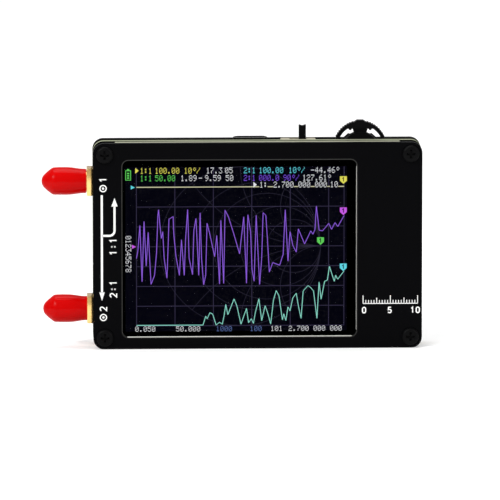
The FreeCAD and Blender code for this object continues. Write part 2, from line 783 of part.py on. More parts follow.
# Slide switch beside it: a folded metal cover over a brown base, with the lever's shoe
# inside and the lever standing out of the slot in the top.
SWITCH_BOTTOM = "(case_height - switch_height)"
switch_cover = new_body("switch_cover", x="switch_place", y=BOARD_BACK, z=SWITCH_BOTTOM)
drawn = sketch(switch_cover, "XY")
rectangle(drawn, "-switch_width / 2", "0", "switch_width", "switch_depth")
last = pad(switch_cover, drawn, "switch_height")
last = round_off(switch_cover, last, "switch_wall",
                 lambda edge: runs_along(edge, "Y") and edge.CenterOfMass.z > value("switch_height / 2"))
drawn = sketch(switch_cover, "XY")
rectangle(drawn, "switch_wall - switch_width / 2", "switch_wall",
          "switch_width - 2 * switch_wall", "switch_depth - 2 * switch_wall")
pocket(switch_cover, drawn, "switch_height - switch_wall", reverse=True)
drawn = sketch(switch_cover, "XY", "switch_height")
rectangle(drawn, "-switch_slot / 2", "(switch_depth - lever_depth) / 2 - lever_gap",
          "switch_slot", "lever_depth + 2 * lever_gap")
pocket(switch_cover, drawn, "2 * switch_wall")

switch_base = block(
    "switch_base", "switch_place - switch_width / 2 + switch_wall", BOARD_BACK + " + switch_wall", SWITCH_BOTTOM,
    "switch_width - 2 * switch_wall", "switch_depth - 2 * switch_wall", "switch_base_thick")
nodes.append(switch_base)

SHOE_BOTTOM = "(case_height - switch_wall - lever_gap - lever_shoe_height)"
switch_lever = new_body("switch_lever", x="switch_place + lever_offset", y=BOARD_BACK + " + switch_depth / 2",
                        z=SHOE_BOTTOM)
drawn = sketch(switch_lever, "XZ", "-(lever_depth / 2)")
LEVER_TOP = "(case_height + lever_rise - %s)" % SHOE_BOTTOM
outline(drawn, [
    ("-lever_width / 2", "0"),
    ("lever_width / 2", "0"),
    ("lever_width / 2", LEVER_TOP),
    ("0", LEVER_TOP + " - lever_notch"),
    ("-lever_width / 2", LEVER_TOP),
])
pad(switch_lever, drawn, "lever_depth")
drawn = sketch(switch_lever, "XY")
rectangle(drawn, "-lever_shoe_width / 2 ", "-(switch_depth / 2 - switch_wall - lever_gap)",
          "lever_shoe_width", "switch_depth - 2 * switch_wall - 2 * lever_gap")
last = pad(switch_lever, drawn, "lever_shoe_height")

# The wiper is a bowed spring strip that rides on the base under the shoe.
WIPER_RISE = "(%s - %s - switch_base_thick - 2 * lever_gap)" % (SHOE_BOTTOM, SWITCH_BOTTOM)
wiper = new_body("switch_wiper", x="switch_place + lever_offset", y=BOARD_BACK + " + switch_depth / 2 - lever_depth / 4",
                 z=SWITCH_BOTTOM + " + switch_base_thick + lever_gap")
drawn = sketch(wiper, "XZ")
half = "lever_shoe_width / 2"
outline(drawn, [
    ("-(%s)" % half, "0"),
    ("-(%s) * 0.6" % half, "0"),
    ("0", WIPER_RISE + " - 2 * leaf_thick"),
    ("(%s) * 0.6" % half, "0"),
    (half, "0"),
    (half, "leaf_thick"),
    ("(%s) * 0.65" % half, "leaf_thick"),
    ("0", WIPER_RISE),
    ("-(%s) * 0.65" % half, "leaf_thick"),
    ("-(%s)" % half, "leaf_thick"),
])
pad(wiper, drawn, "lever_depth / 2", reverse=True)

# Three flat pins leave the base downwards and bend on to the board.
pins = new_body("switch_pins", x="switch_place", y=BOARD_BACK, z=SWITCH_BOTTOM)
drawn = sketch(pins, "YZ", "-pin_pitch - pin_width / 2")
PIN_MIDDLE = "switch_depth / 2"
outline(drawn, [
    ("0", "-pin_drop"),
    ("pin_thick", "-pin_drop"),
    ("pin_thick", "-pin_drop / 2 - pin_thick"),
    (PIN_MIDDLE + " + pin_thick / 2", "-pin_drop / 2 - pin_thick"),
    (PIN_MIDDLE + " + pin_thick / 2", "0"),
    (PIN_MIDDLE + " - pin_thick / 2", "0"),
    (PIN_MIDDLE + " - pin_thick / 2", "-pin_drop / 2"),
    ("0", "-pin_drop / 2"),
])
one_pin = pad(pins, drawn, "pin_width")
row = pins.newObject("PartDesign::LinearPattern", "switch_pins_row")
row.Originals = [one_pin]
row.Direction = (drawn, ["N_Axis"])
bind(row, "Length", "2 * pin_pitch")
row.Occurrences = 3
pins.Tip = row


# Jog lever switch. Its flat housing has a domed top and an open cavity under a metal
# cover. The lever turns on a pin that a small slider carries, and the slider can sink
# on to a snap leaf.
def dome_plate(owner, thick, out):
    """The housing's outline raised along +Y: a block under a round top."""
    drawn = sketch(owner, "XZ", out)
    rectangle(drawn, "-jog_housing_radius", "-jog_dome_drop - jog_housing_height",
              "2 * jog_housing_radius", "jog_housing_height")
    pad(owner, drawn, thick, reverse=True)
    drawn = sketch(owner, "XZ", out)
    circle(drawn, "jog_housing_radius", "0", "-jog_dome_drop")
    return pad(owner, drawn, thick, reverse=True)


CAVITY_HALF = "(jog_housing_radius - jog_wall)"
jog_housing = new_body("jog_housing", x=JOG_X, y=BOARD_BACK, z=JOG_Z)
dome_plate(jog_housing, "jog_floor + jog_cavity", "0")
drawn = sketch(jog_housing, "XZ", "-jog_floor")
circle(drawn, CAVITY_HALF, "0", "-jog_dome_drop")
pocket(jog_housing, drawn, "jog_cavity")
drawn = sketch(jog_housing, "XZ", "-jog_floor")
CAVITY_BOTTOM = "(jog_wall - jog_dome_drop - jog_housing_height)"
rectangle(drawn, "-(slider_width / 2 + slider_side_gap)", CAVITY_BOTTOM,
          "slider_width + 2 * slider_side_gap", "jog_housing_height")
pocket(jog_housing, drawn, "jog_cavity")
drawn = sketch(jog_housing, "XZ", "-jog_floor")
rectangle(drawn, "-jog_slot_width / 2", "-jog_dome_drop", "jog_slot_width", "2 * jog_housing_radius")
pocket(jog_housing, drawn, "jog_cavity")

JOG_COVER_Y = "(%s + jog_floor + jog_cavity)" % BOARD_BACK
jog_cover = new_body("jog_cover", x=JOG_X, y=JOG_COVER_Y, z=JOG_Z)
dome_plate(jog_cover, "jog_cover_thick", "0")
drawn = sketch(jog_cover, "XZ", "-jog_cover_thick")
for side in ("-jog_housing_radius - jog_cover_thick", "jog_housing_radius"):
    rectangle(drawn, side, "-jog_dome_drop - jog_housing_height + jog_wall", "jog_cover_thick", "jog_tab_height")
pad(jog_cover, drawn, "jog_cover_thick + jog_cavity + jog_floor")

# Lever: a toothed rim round the pivot, a web with two small lobes under its crown, and
# a thinner stem down to the hub on the pin.
jog_lever = new_body("jog_lever", x=JOG_X, y=BOARD_BACK, z=JOG_Z)
RIM_OUT = "-(rim_front - board_thick / 2)"
drawn = sketch(jog_lever, "XZ", RIM_OUT)
circle(drawn, "rim_radius")
circle(drawn, "rim_radius - rim_thick")
pad(jog_lever, drawn, "rim_depth", reverse=True)
drawn = sketch(jog_lever, "XZ", RIM_OUT)
rectangle(drawn, "-2 * rim_radius", "-3 * rim_radius - rim_end_drop", "4 * rim_radius", "3 * rim_radius")
pocket(jog_lever, drawn, "rim_depth")
drawn = sketch(jog_lever, "XZ", RIM_OUT)
CROWN = "(rim_radius + nub_height)"
outline(drawn, [
    ("-nub_top / 2", CROWN),
    ("-nub_base / 2", "rim_radius - nub_height"),
    ("-web_width / 2", "web_level"),
    ("web_width / 2", "web_level"),
    ("nub_base / 2", "rim_radius - nub_height"),
    ("nub_top / 2", CROWN),
])
pad(jog_lever, drawn, "rim_depth", reverse=True)
drawn = sketch(jog_lever, "XZ", RIM_OUT)
for side in ("lobe_place", "-lobe_place"):
    circle(drawn, "lobe_radius", side, "web_level")
pad(jog_lever, drawn, "rim_depth", reverse=True)
STEM_OUT = "-(jog_floor + stem_play)"
drawn = sketch(jog_lever, "XZ", STEM_OUT)
outline(drawn, [
    ("-stem_width / 2", "0"),
    ("stem_width / 2", "0"),
    ("stem_width / 2", "stem_shoulder"),
    ("stem_flare / 2", "web_level + lobe_radius"),
    ("-stem_flare / 2", "web_level + lobe_radius"),
    ("-stem_width / 2", "stem_shoulder"),
])
pad(jog_lever, drawn, "stem_depth", reverse=True)
drawn = sketch(jog_lever, "XZ", STEM_OUT)
circle(drawn, "hub_radius")
pad(jog_lever, drawn, "stem_depth", reverse=True)
drawn = sketch(jog_lever, "XZ", STEM_OUT)
circle(drawn, "pivot_diameter / 2 + pivot_clearance")
pocket(jog_lever, drawn, "stem_depth")

# Ribs for the fingertip on both sides of the crown, each a small blunt tooth on the rim.
row_angle = "(tooth_count - 1) * tooth_pitch"
for side in ("-", ""):
    drawn = sketch(jog_lever, "XZ", RIM_OUT)
    low = "(rim_radius - tooth_sink)"
    top = "(rim_radius + tooth_height)"
    corners = []
    for radius, across in ((low, "-tooth_base"), (low, "tooth_base"), (top, "tooth_tip"), (top, "-tooth_tip")):
        angle = "(tooth_start + %s / 2 / rim_radius * 180 / pi)" % across
        corners.append(("%s%s * sin(%s)" % (side, radius, angle), "%s * cos(%s)" % (radius, angle)))
    outline(drawn, corners)
    tooth = pad(jog_lever, drawn, "rim_depth", reverse=True)
    teeth = jog_lever.newObject("PartDesign::PolarPattern", "jog_lever_teeth")
    teeth.Originals = [tooth]
    teeth.Axis = (drawn, ["N_Axis"])
    teeth.Reversed = side == ""
    bind(teeth, "Angle", row_angle)
    bind(teeth, "Occurrences", "tooth_count")
    jog_lever.Tip = teeth
    doc.recompute()

# The slider behind the lever's hub carries the pin that the lever turns on.
SLIDER_OUT = "-(jog_floor + stem_play + stem_depth + stem_play / 2)"
SLIDER_FOOT = "(%s + leaf_rise + push_travel + push_clearance)" % CAVITY_BOTTOM
jog_slider = new_body("jog_slider", x=JOG_X, y=BOARD_BACK, z=JOG_Z)
drawn = sketch(jog_slider, "XZ", SLIDER_OUT)
rectangle(drawn, "-slider_width / 2", SLIDER_FOOT, "slider_width", "slider_top - %s" % SLIDER_FOOT)
pad(jog_slider, drawn, "slider_depth", reverse=True)
drawn = sketch(jog_slider, "XZ", SLIDER_OUT)
circle(drawn, "pivot_diameter / 2")
pad(jog_slider, drawn, "stem_depth + stem_play")

# A bowed snap leaf lies on the cavity's floor under the slider's foot.
jog_leaf = new_body("jog_leaf", x=JOG_X, y=BOARD_BACK + " + jog_floor + (jog_cavity - leaf_width) / 2",
                    z=JOG_Z + " + " + CAVITY_BOTTOM)
drawn = sketch(jog_leaf, "XZ")
half = "(slider_width / 2 - pivot_diameter / 2)"
outline(drawn, [
    ("-" + half, "0"),
    ("-%s * 0.75" % half, "0"),
    ("-%s * 0.3" % half, "leaf_rise - leaf_thick"),
    ("%s * 0.3" % half, "leaf_rise - leaf_thick"),
    ("%s * 0.75" % half, "0"),
    (half, "0"),
    (half, "leaf_thick"),
    ("%s * 0.8" % half, "leaf_thick"),
    ("%s * 0.35" % half, "leaf_rise"),
    ("-%s * 0.35" % half, "leaf_rise"),
    ("-%s * 0.8" % half, "leaf_thick"),
    ("-" + half, "leaf_thick"),
])
pad(jog_leaf, drawn, "leaf_width", reverse=True)

JOG_BOTTOM = "(%s - jog_dome_drop - jog_housing_height)" % JOG_Z
feet = []
for number, middle in enumerate((JOG_X + " - jog_foot_pitch", JOG_X, JOG_X + " + jog_foot_pitch"), 1):
    feet.append(block("jog_foot_%d" % number, middle + " - jog_foot_width / 2", BOARD_BACK,
                      JOG_BOTTOM + " - jog_foot_length", "jog_foot_width", "jog_foot_thick", "jog_foot_length"))
gather("jog_feet", feet)

# Flat battery taped to the rear of the main board, its two leads side by side round
# one corner, and the plug in its socket.
CELL_BACK = "(%s + battery_tape + battery_thick)" % BOARD_BACK
BATTERY_LEFT = "(battery_left - case_width / 2)"
BATTERY_RIGHT = "(case_width / 2 - battery_right)"
BATTERY_HEIGHT = "(case_height - battery_bottom - battery_top)"
battery_cell = new_body("battery_cell", x=BATTERY_LEFT, y=CELL_BACK, z="battery_bottom")
drawn = sketch(battery_cell, "XZ")
rectangle(drawn, "0", "0", "%s - %s" % (BATTERY_RIGHT, BATTERY_LEFT), BATTERY_HEIGHT)
last = pad(battery_cell, drawn, "battery_thick")
round_off(battery_cell, last, "battery_round", lambda edge: runs_along(edge, "X"))
battery_tape = block(
    "battery_tape", BATTERY_LEFT + " + battery_round", BOARD_BACK, "battery_bottom + 2 * battery_round",
    "%s - %s - 2 * battery_round" % (BATTERY_RIGHT, BATTERY_LEFT), "battery_tape",
    BATTERY_HEIGHT + " - 4 * battery_round")
nodes.append(battery_tape)

LEAD_Y = "(%s + socket_wall + plug_clearance + plug_depth / 2)" % BOARD_BACK
BEND_X = "(%s + lead_run)" % BATTERY_RIGHT
PLUG_BOTTOM = "(case_height - plug_drop)"
BEND_Z = "(lead_level + lead_inner_bend)"


def lead(name, bend):
    """A round lead: a short straight run from the battery, one bend, and up to the plug."""
    owner = new_body(name, x=BEND_X, y=LEAD_Y, z=BEND_Z)
    path = sketch(owner, "XZ")
    turn = value(bend)
    rise = value(PLUG_BOTTOM + " - " + BEND_Z)
    points = [Vector(-value("lead_run"), -turn, 0), Vector(0, -turn, 0), Vector(turn, 0, 0), Vector(turn, rise, 0)]
    run = path.addGeometry(Part.LineSegment(points[0], points[1]), False)
    arc = path.addGeometry(
        Part.ArcOfCircle(Part.Circle(Vector(0, 0, 0), Vector(0, 0, 1), turn), 1.5 * math.pi, 2 * math.pi), False)
    up = path.addGeometry(Part.LineSegment(points[2], points[3]), False)
    path.addConstraint(Sketcher.Constraint("Tangent", run, 2, arc, 1))
    path.addConstraint(Sketcher.Constraint("Tangent", arc, 2, up, 1))
    path.addConstraint(Sketcher.Constraint("Horizontal", run))
    path.addConstraint(Sketcher.Constraint("Vertical", up))
    hold(path, "DistanceX", run, 1, "-lead_run")
    hold(path, "DistanceX", run, 2, "0")
    hold(path, "DistanceY", run, 2, "-(%s)" % bend)
    hold(path, "DistanceX", up, 1, bend)
    hold(path, "DistanceY", up, 2, PLUG_BOTTOM + " - " + BEND_Z)
    section = sketch(owner, "YZ", "-lead_run")
    circle(section, "lead_diameter / 2", "0", "-(%s)" % bend)
    pipe = owner.newObject("PartDesign::AdditivePipe", name + "_pipe")
    pipe.Profile = section
    pipe.Spine = (path, ["Edge1", "Edge2", "Edge3"])
    doc.recompute()
    length = value("lead_run") + turn * math.pi / 2 + rise
    whole = length * math.pi * value("lead_diameter / 2") ** 2
    if abs(owner.Shape.Volume / whole - 1) > 0.01:
        raise RuntimeError(name + ": the lead's volume is not its section times its length")
    print(name, "bend radius", turn)


lead("battery_lead_red", "lead_inner_bend")
lead("battery_lead_black", "(lead_inner_bend + lead_spacing)")

PLUG_X = "(%s + lead_inner_bend + lead_spacing / 2)" % BEND_X
plug = block("battery_plug", PLUG_X + " - plug_width / 2", LEAD_Y + " - plug_depth / 2", PLUG_BOTTOM,
             "plug_width", "plug_depth", "plug_height")
nodes.append(plug)
SOCKET_BOTTOM = "(%s + plug_height + socket_end_gap - socket_cavity)" % PLUG_BOTTOM
SOCKET_DEPTH = "(plug_depth + 2 * plug_clearance + 2 * socket_wall)"
battery_socket = new_body("battery_socket", x=PLUG_X, y=BOARD_BACK, z=SOCKET_BOTTOM)
drawn = sketch(battery_socket, "XY")
rectangle(drawn, "-(plug_width / 2 + plug_clearance + socket_wall)", "0",
          "plug_width + 2 * plug_clearance + 2 * socket_wall", SOCKET_DEPTH)
pad(battery_socket, drawn, "socket_height")
drawn = sketch(battery_socket, "XY")
rectangle(drawn, "-(plug_width / 2 + plug_clearance)", "socket_wall",
          "plug_width + 2 * plug_clearance", "plug_depth + 2 * plug_clearance")
pocket(battery_socket, drawn, "socket_cavity", reverse=True)


# Two shield cans over the radio parts beside the ports.
def shield(number, bottom):
    owner = new_body("shield_can_%d" % number, x=LEFT_EDGE + " + shield_left", y=BOARD_BACK, z=bottom)
    drawn = sketch(owner, "XZ")
    rectangle(drawn, "0", "0", "shield_side", "shield_side")
    last = pad(owner, drawn, "shield_depth", reverse=True)
    round_off(owner, last, "shield_round", lambda edge: runs_along(edge, "Y"))
    drawn = sketch(owner, "XZ")
    rectangle(drawn, "shield_wall", "shield_wall", "shield_side - 2 * shield_wall", "shield_side - 2 * shield_wall")
    pocket(owner, drawn, "shield_depth - shield_wall")


shield(1, "case_height - shield_drop")
shield(2, "shield_rise")

# Processor, crystals, small chips and a row of chip parts above the battery.
processor = new_body("processor", x="processor_place", y=BOARD_BACK, z="case_height - processor_drop")
drawn = sketch(processor, "XZ")
rectangle(drawn, "-processor_side / 2", "-processor_side / 2", "processor_side", "processor_side")
last = pad(processor, drawn, "processor_thick", reverse=True)
round_off(processor, last, "processor_chamfer",
          lambda edge: edge.CenterOfMass.y > value("processor_thick") - 0.01, kind="Chamfer")

crystal = block("crystal", "crystal_place - crystal_length / 2", BOARD_BACK,
                "case_height - crystal_drop - crystal_width / 2",
                "crystal_length", "crystal_thick", "crystal_width")
nodes.append(crystal)

chips = []
for number, middle in enumerate(("crystal_place", "crystal_place + chip_space", JOG_X + " - chip_space"), 1):
    chips.append(block("chip_%d" % number, middle + " - chip_side / 2", BOARD_BACK, "case_height - chip_drop",
                       "chip_side", "chip_thick", "chip_side"))
gather("chips", chips)

small_parts = new_body("small_parts", x="small_part_left", y=BOARD_BACK, z="case_height - small_part_drop")
drawn = sketch(small_parts, "XZ")
rectangle(drawn, "0", "0", "small_part_length", "small_part_width")
one_part = pad(small_parts, drawn, "small_part_thick", reverse=True)
row = small_parts.newObject("PartDesign::LinearPattern", "small_parts_row")
row.Originals = [one_part]
row.Direction = (drawn, ["H_Axis"])
bind(row, "Length", "(small_part_count - 1) * small_part_pitch")
bind(row, "Occurrences", "small_part_count")
small_parts.Tip = row

doc.recompute()
for thing in doc.Objects:
    if "Invalid" in thing.State or "Error" in thing.State:
        raise RuntimeError("%s: %s" % (thing.Label, thing.State))
for piece in nodes:
    if piece.Shape.isNull() or not piece.Shape.isValid():
        raise RuntimeError(piece.Label + ": the shape is empty or not valid")

os.makedirs("parts", exist_ok=True)
for piece in nodes:
    piece.Shape.exportStep("parts/%s.step" % piece.Label)
print(len(nodes), "pieces written")
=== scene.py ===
"""Handheld antenna analyzer: the finishes, the fine pieces and the photo stage.

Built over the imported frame, in its axes: x to the right, y away from the
viewer, z up. Meshes are written in millimetres and turned to metres once.
"""

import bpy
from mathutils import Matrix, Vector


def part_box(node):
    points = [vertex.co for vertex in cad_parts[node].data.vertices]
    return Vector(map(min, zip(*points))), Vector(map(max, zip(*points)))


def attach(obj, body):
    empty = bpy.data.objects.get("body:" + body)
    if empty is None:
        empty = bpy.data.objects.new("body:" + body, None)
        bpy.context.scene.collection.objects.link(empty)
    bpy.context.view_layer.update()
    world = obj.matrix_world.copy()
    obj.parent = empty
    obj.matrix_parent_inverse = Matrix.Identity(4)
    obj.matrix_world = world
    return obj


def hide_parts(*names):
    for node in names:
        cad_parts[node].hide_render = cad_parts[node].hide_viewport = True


bl_info = {
    "name": "Antenna Analyzer",
    "version": (1, 0, 0),
    "blender": (4, 5, 0),
    "location": "3D View > Sidebar > Analyzer",
    "description": "Dresses the handheld antenna analyzer and builds its photo stage",
    "category": "Object",
}

import math
import random
import re

import bmesh
import bpy
from bpy.props import FloatProperty, FloatVectorProperty, IntProperty, PointerProperty
from mathutils import Matrix, Vector
from mathutils.bvhtree import BVHTree

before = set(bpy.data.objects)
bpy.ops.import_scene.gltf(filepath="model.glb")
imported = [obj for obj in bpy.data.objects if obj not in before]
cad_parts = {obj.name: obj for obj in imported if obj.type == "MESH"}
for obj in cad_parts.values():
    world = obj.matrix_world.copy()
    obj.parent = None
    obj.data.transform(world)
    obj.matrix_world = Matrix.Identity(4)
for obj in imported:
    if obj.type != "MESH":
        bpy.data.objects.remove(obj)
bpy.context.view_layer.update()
MM = 0.001
EVEN = (1.0, 1.0, 1.0)
# How far each printed layer stands off what it is printed on, in millimetres
PRINT, LAYER = 0.012, 0.008


def corners(node):
    """Lowest and highest corner of a node of the frame, in millimetres."""
    low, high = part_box(node)
    return [v / MM for v in low], [v / MM for v in high]


def linear(code):
    """An sRGB hex colour as linear red, green, blue and alpha."""
    shares = [int(code[i:i + 2], 16) / 255 for i in (1, 3, 5)]
    return tuple(s / 12.92 if s <= 0.04045 else ((s + 0.055) / 1.055) ** 2.4 for s in shares) + (1.0,)


def shade(colour, factor=1.0):
    """A linear colour times a factor, with full alpha."""
    return tuple(min(1.0, c * factor) for c in colour[:3]) + (1.0,)


def length(name, description, millimetres):
    return FloatProperty(name=name, description=description, default=millimetres * MM,
                         min=0.0, unit="LENGTH", precision=5)


def tint(name, description, code):
    return FloatVectorProperty(name=name, description=description, default=linear(code)[:3],
                               min=0.0, max=1.0, size=3, subtype="COLOR")


def angle(name, description, degrees):
    return FloatProperty(name=name, description=description, default=math.radians(degrees), subtype="ANGLE")


class StageSettings(bpy.types.PropertyGroup):
    distance: length("Camera distance", "From the aim point to the camera", 2000.0)
    view_width: length("View width", "Width of the picture at the object", 129.87)
    aim_left: length("Aim left", "How far the aim lies left of the panel's middle", 2.03)
    aim_below: length("Aim below", "How far the aim lies below the panel's middle", 1.06)
    elevation: angle("Elevation", "Camera height over the panel's normal", 8.8)
    azimuth: angle("Azimuth", "Camera turn, negative to the left", -2.0)
    floor: tint("Floor colour", "Pale paper sweep", "#EDEDED")


class BoardSettings(bpy.types.PropertyGroup):
    mask: tint("Soldermask", "Black epoxy soldermask", "#030304")
    core: tint("Board core", "Cut edge of the glass-epoxy laminate", "#A6A990")
    ink: tint("Legend ink", "White legend print", "#F4F4F2")
    weave: length("Weave pitch", "Pitch of the glass cloth under the mask", 0.45)
    arrow_width: length("Arrow line", "Width of the printed arrow's line", 0.54)
    digit_height: length("Digit height", "Height of the printed digits", 2.0)


class DisplaySettings(bpy.types.PropertyGroup):
    left: length("Left border", "Lit area to the left edge of the glass", 2.2)
    top: length("Top border", "Lit area to the top edge of the glass", 2.8)
    pixel: length("Pixel pitch", "Pitch of one dot of the display", 0.18)
    glow: FloatProperty(name="Brightness", description="Strength of the lit dots", default=1.0, min=0.0)
    back: tint("Dark field", "Unlit field of the display", "#02020A")
    grid: tint("Grid", "Lines of the measuring grid", "#312C44")
    chart: tint("Chart", "Arcs of the impedance chart", "#23212F")
    flat: tint("Flat trace", "Trace near full reflection", "#CBC8A4")
    phase: tint("Phase trace", "Trace that swings", "#8F60E2")
    level: tint("Level trace", "Trace that climbs", "#8FE0D0")


class PortSettings(bpy.types.PropertyGroup):
    thread_pitch: length("Thread pitch", "Pitch of the coaxial port's thread", 0.705)
    thread_depth: length("Thread depth", "Depth of the thread", 0.3)
    gold: tint("Gold plate", "Gold plate over brass", "#FFD68A")
    cap: tint("Cap vinyl", "Dipped red vinyl", "#BE0000")
    mouth: length("Cap mouth", "Radius of the cap at its mouth", 3.15)
    belly: length("Cap belly", "Largest radius of the cap", 3.63)


class HardwareSettings(bpy.types.PropertyGroup):
    screw_radius: length("Screw radius", "Radius of the screw heads", 2.2)
    recess: length("Recess span", "Half span of the cross recess", 1.15)
    steel: tint("Plated steel", "Bright nickel over steel", "#C4C4C2")
    oxide: tint("Black oxide", "Blackened steel of the screws", "#080809")
    parts: IntProperty(name="Chip parts", description="Number of small parts on the main board",
                       default=64, min=0, max=200)


def settings(group):
    """The values that the panel shows for one group."""
    return getattr(bpy.context.scene, group)


# Materials

def add(tree, kind, inputs=None, **attributes):
    """Adds one node with its attributes; an input takes a value, or a link where it is given a socket."""
    node = tree.nodes.new(kind)
    for key, value in attributes.items():
        setattr(node, key, value)
    for key, value in (inputs or {}).items():
        if isinstance(value, bpy.types.NodeSocket):
            tree.links.new(value, node.inputs[key])
        else:
            node.inputs[key].default_value = value
    return node


def blank(name):
    """A new material and its empty node tree."""
    material = bpy.data.materials.new(name)
    material.use_nodes = True
    material.node_tree.nodes.clear()
    return material, material.node_tree


def close(tree, inputs):
    """Ends a material in one Principled shader, with its uniform values on the shader's own sockets."""
    shader = add(tree, "ShaderNodeBsdfPrincipled", inputs)
    add(tree, "ShaderNodeOutputMaterial", {"Surface": shader.outputs[0]})


def grain(tree, size, detail=3.0, stretch=EVEN):
    """Noise with features of the given size in millimetres, in the object's own space."""
    place = add(tree, "ShaderNodeTexCoord")
    scale = add(tree, "ShaderNodeMapping", {"Vector": place.outputs["Object"],
                                            "Scale": [s / (size * MM) for s in stretch]})
    return add(tree, "ShaderNodeTexNoise", {"Vector": scale.outputs[0], "Scale": 1.0, "Detail": detail,
                                            "Roughness": 0.55}).outputs[0]


def finish(name, light, dark, size, roughness, relief=0.0, stretch=EVEN, **sockets):
    """A surface that wanders between two shades, with gloss and relief from the same grain.

    light and dark are hex or linear colours, size is the grain and relief its depth in millimetres.
    """
    if name in bpy.data.materials:
        return bpy.data.materials[name]
    light, dark = (linear(c) if isinstance(c, str) else shade(c) for c in (light, dark))
    material, tree = blank(name)
    noise = grain(tree, size, stretch=stretch)
    tone = add(tree, "ShaderNodeMix", {0: noise, 6: dark, 7: light}, data_type="RGBA")
    # Most of a noise lies between 0.3 and 0.7, which the gloss is spread over
    gloss = add(tree, "ShaderNodeMapRange", {0: noise, 1: 0.3, 2: 0.7,
                                             3: roughness * 0.82, 4: roughness * 1.18})
    sockets.update({"Base Color": tone.outputs[2], "Roughness": gloss.outputs[0]})
    if relief:
        bump = add(tree, "ShaderNodeBump", {"Height": noise, "Strength": 1.0, "Distance": relief * MM})
        sockets["Normal"] = bump.outputs[0]
    close(tree, sockets)
    return material


def soldermask(name, with_core, gloss_level=0.025):
    """Black epoxy soldermask over glass cloth, screened on and cured.

    It gives the eye a deep satin black with the cloth's faint weave, and, on a
    cut board, pale cut edges in which the plies show as fine lines.
    """
    board = settings("analyzer_boards")
    material, tree = blank(name)
    place = add(tree, "ShaderNodeTexCoord")
    # A wave texture of scale 1 has a band every 1 / 3.18 of a unit
    bands = 1.0 / 3.18
    # Plain cloth of 0.45 mm pitch, as two crossed bands on the faces of the board
    warp, weft = (add(tree, "ShaderNodeTexWave", {"Vector": place.outputs["Object"], "Distortion": 0.4,
                                                  "Scale": bands / board.weave}, bands_direction=way)
                  for way in "XZ")
    cloth = add(tree, "ShaderNodeMath", {0: warp.outputs[1], 1: weft.outputs[1]}, operation="ADD")
    relief = add(tree, "ShaderNodeBump", {"Height": cloth.outputs[0], "Strength": 0.35,
                                          "Distance": 0.004 * MM})
    speck = grain(tree, 0.6, 4.0)
    mask = add(tree, "ShaderNodeMix", {0: speck, 6: shade(board.mask), 7: shade(board.mask, 1.7)},
               data_type="RGBA").outputs[2]
    gloss = add(tree, "ShaderNodeMapRange", {0: speck, 1: 0.3, 2: 0.7, 3: 0.40, 4: 0.50}).outputs[0]
    if with_core:
        # Plies lie 0.2 mm apart through the laminate; drawn at 0.4 mm so that they show
        plies = add(tree, "ShaderNodeTexWave", {"Vector": place.outputs["Object"], "Distortion": 1.5,
                                                "Detail": 2.0, "Scale": bands / (0.4 * MM)},
                    bands_direction="Y")
        # Resin and cloth vary along an edge, from straw to a faint green
        green = tuple(c * k for c, k in zip(board.core, (0.74, 0.94, 0.78))) + (1.0,)
        patches = add(tree, "ShaderNodeMapRange", {0: grain(tree, 6.0, 2.0), 1: 0.45, 2: 0.62})
        cut = add(tree, "ShaderNodeMix", {0: patches.outputs[0], 6: shade(board.core), 7: green},
                  data_type="RGBA").outputs[2]
        for darker, factor in ((0.72, plies.outputs[1]), (0.6, grain(tree, 0.35, 3.0))):
            cut = add(tree, "ShaderNodeMix", {0: factor, 6: shade(board.core, darker), 7: cut},
                      data_type="RGBA").outputs[2]
        facing = add(tree, "ShaderNodeSeparateXYZ", {0: place.outputs["Normal"]})
        size = add(tree, "ShaderNodeMath", {0: facing.outputs[1]}, operation="ABSOLUTE")
        face = add(tree, "ShaderNodeMath", {0: size.outputs[0], 1: 0.6}, operation="GREATER_THAN").outputs[0]
        mask = add(tree, "ShaderNodeMix", {0: face, 6: cut, 7: mask}, data_type="RGBA").outputs[2]
        gloss = add(tree, "ShaderNodeMix", {0: face, 2: 0.8, 3: gloss}, data_type="FLOAT").outputs[0]
    close(tree, {"Base Color": mask, "Roughness": gloss, "Normal": relief.outputs[0],
                 "IOR": 1.5, "Specular IOR Level": gloss_level})
    return material


def steel_with_painted_highlight(name, wall, rim):
    """Drawn steel in two colours, picked by the way each face looks: faces that look up take the pale rim
    colour as a painted highlight, and the rest take the wall colour.

    It gives the eye a near-black wall with a thin pale line of painted highlight along the mouth.
    """
    material, tree = blank(name)
    place = add(tree, "ShaderNodeTexCoord")
    facing = add(tree, "ShaderNodeSeparateXYZ", {0: place.outputs["Normal"]})
    # Painted highlight: faces that look up, towards the lamps above, turn to the pale rim colour
    bright = add(tree, "ShaderNodeMapRange", {0: facing.outputs[2], 1: 0.3, 2: 0.6})
    wear = grain(tree, 0.5, 3.0)
    # The wall colour wanders at random with the grain; the highlight is laid over it
    plated = add(tree, "ShaderNodeMix", {0: wear, 6: shade(linear(wall), 0.8), 7: linear(wall)},
                 data_type="RGBA")
    tone = add(tree, "ShaderNodeMix", {0: bright.outputs[0], 6: plated.outputs[2], 7: linear(rim)},
               data_type="RGBA")
    gloss = add(tree, "ShaderNodeMapRange", {0: wear, 1: 0.3, 2: 0.7, 3: 0.26, 4: 0.36})
    close(tree, {"Base Color": tone.outputs[2], "Roughness": gloss.outputs[0], "Metallic": 0.9})
    return material


def touch_film():
    """Hard-coated clear film: a polished pane, with a haze of fine wipe marks in its gloss."""
    material, tree = blank("hard_coated_touch_glass")
    haze = grain(tree, 9.0, 4.0, (1.0, 1.0, 3.0))
    tone = add(tree, "ShaderNodeMix", {0: haze, 6: (0.94, 0.95, 0.97, 1), 7: (1, 1, 1, 1)},
               data_type="RGBA")
    gloss = add(tree, "ShaderNodeMapRange", {0: haze, 1: 0.3, 2: 0.7, 3: 0.01, 4: 0.03})
    close(tree, {"Base Color": tone.outputs[2], "Roughness": gloss.outputs[0], "IOR": 1.02,
                 "Transmission Weight": 1.0})
    return material


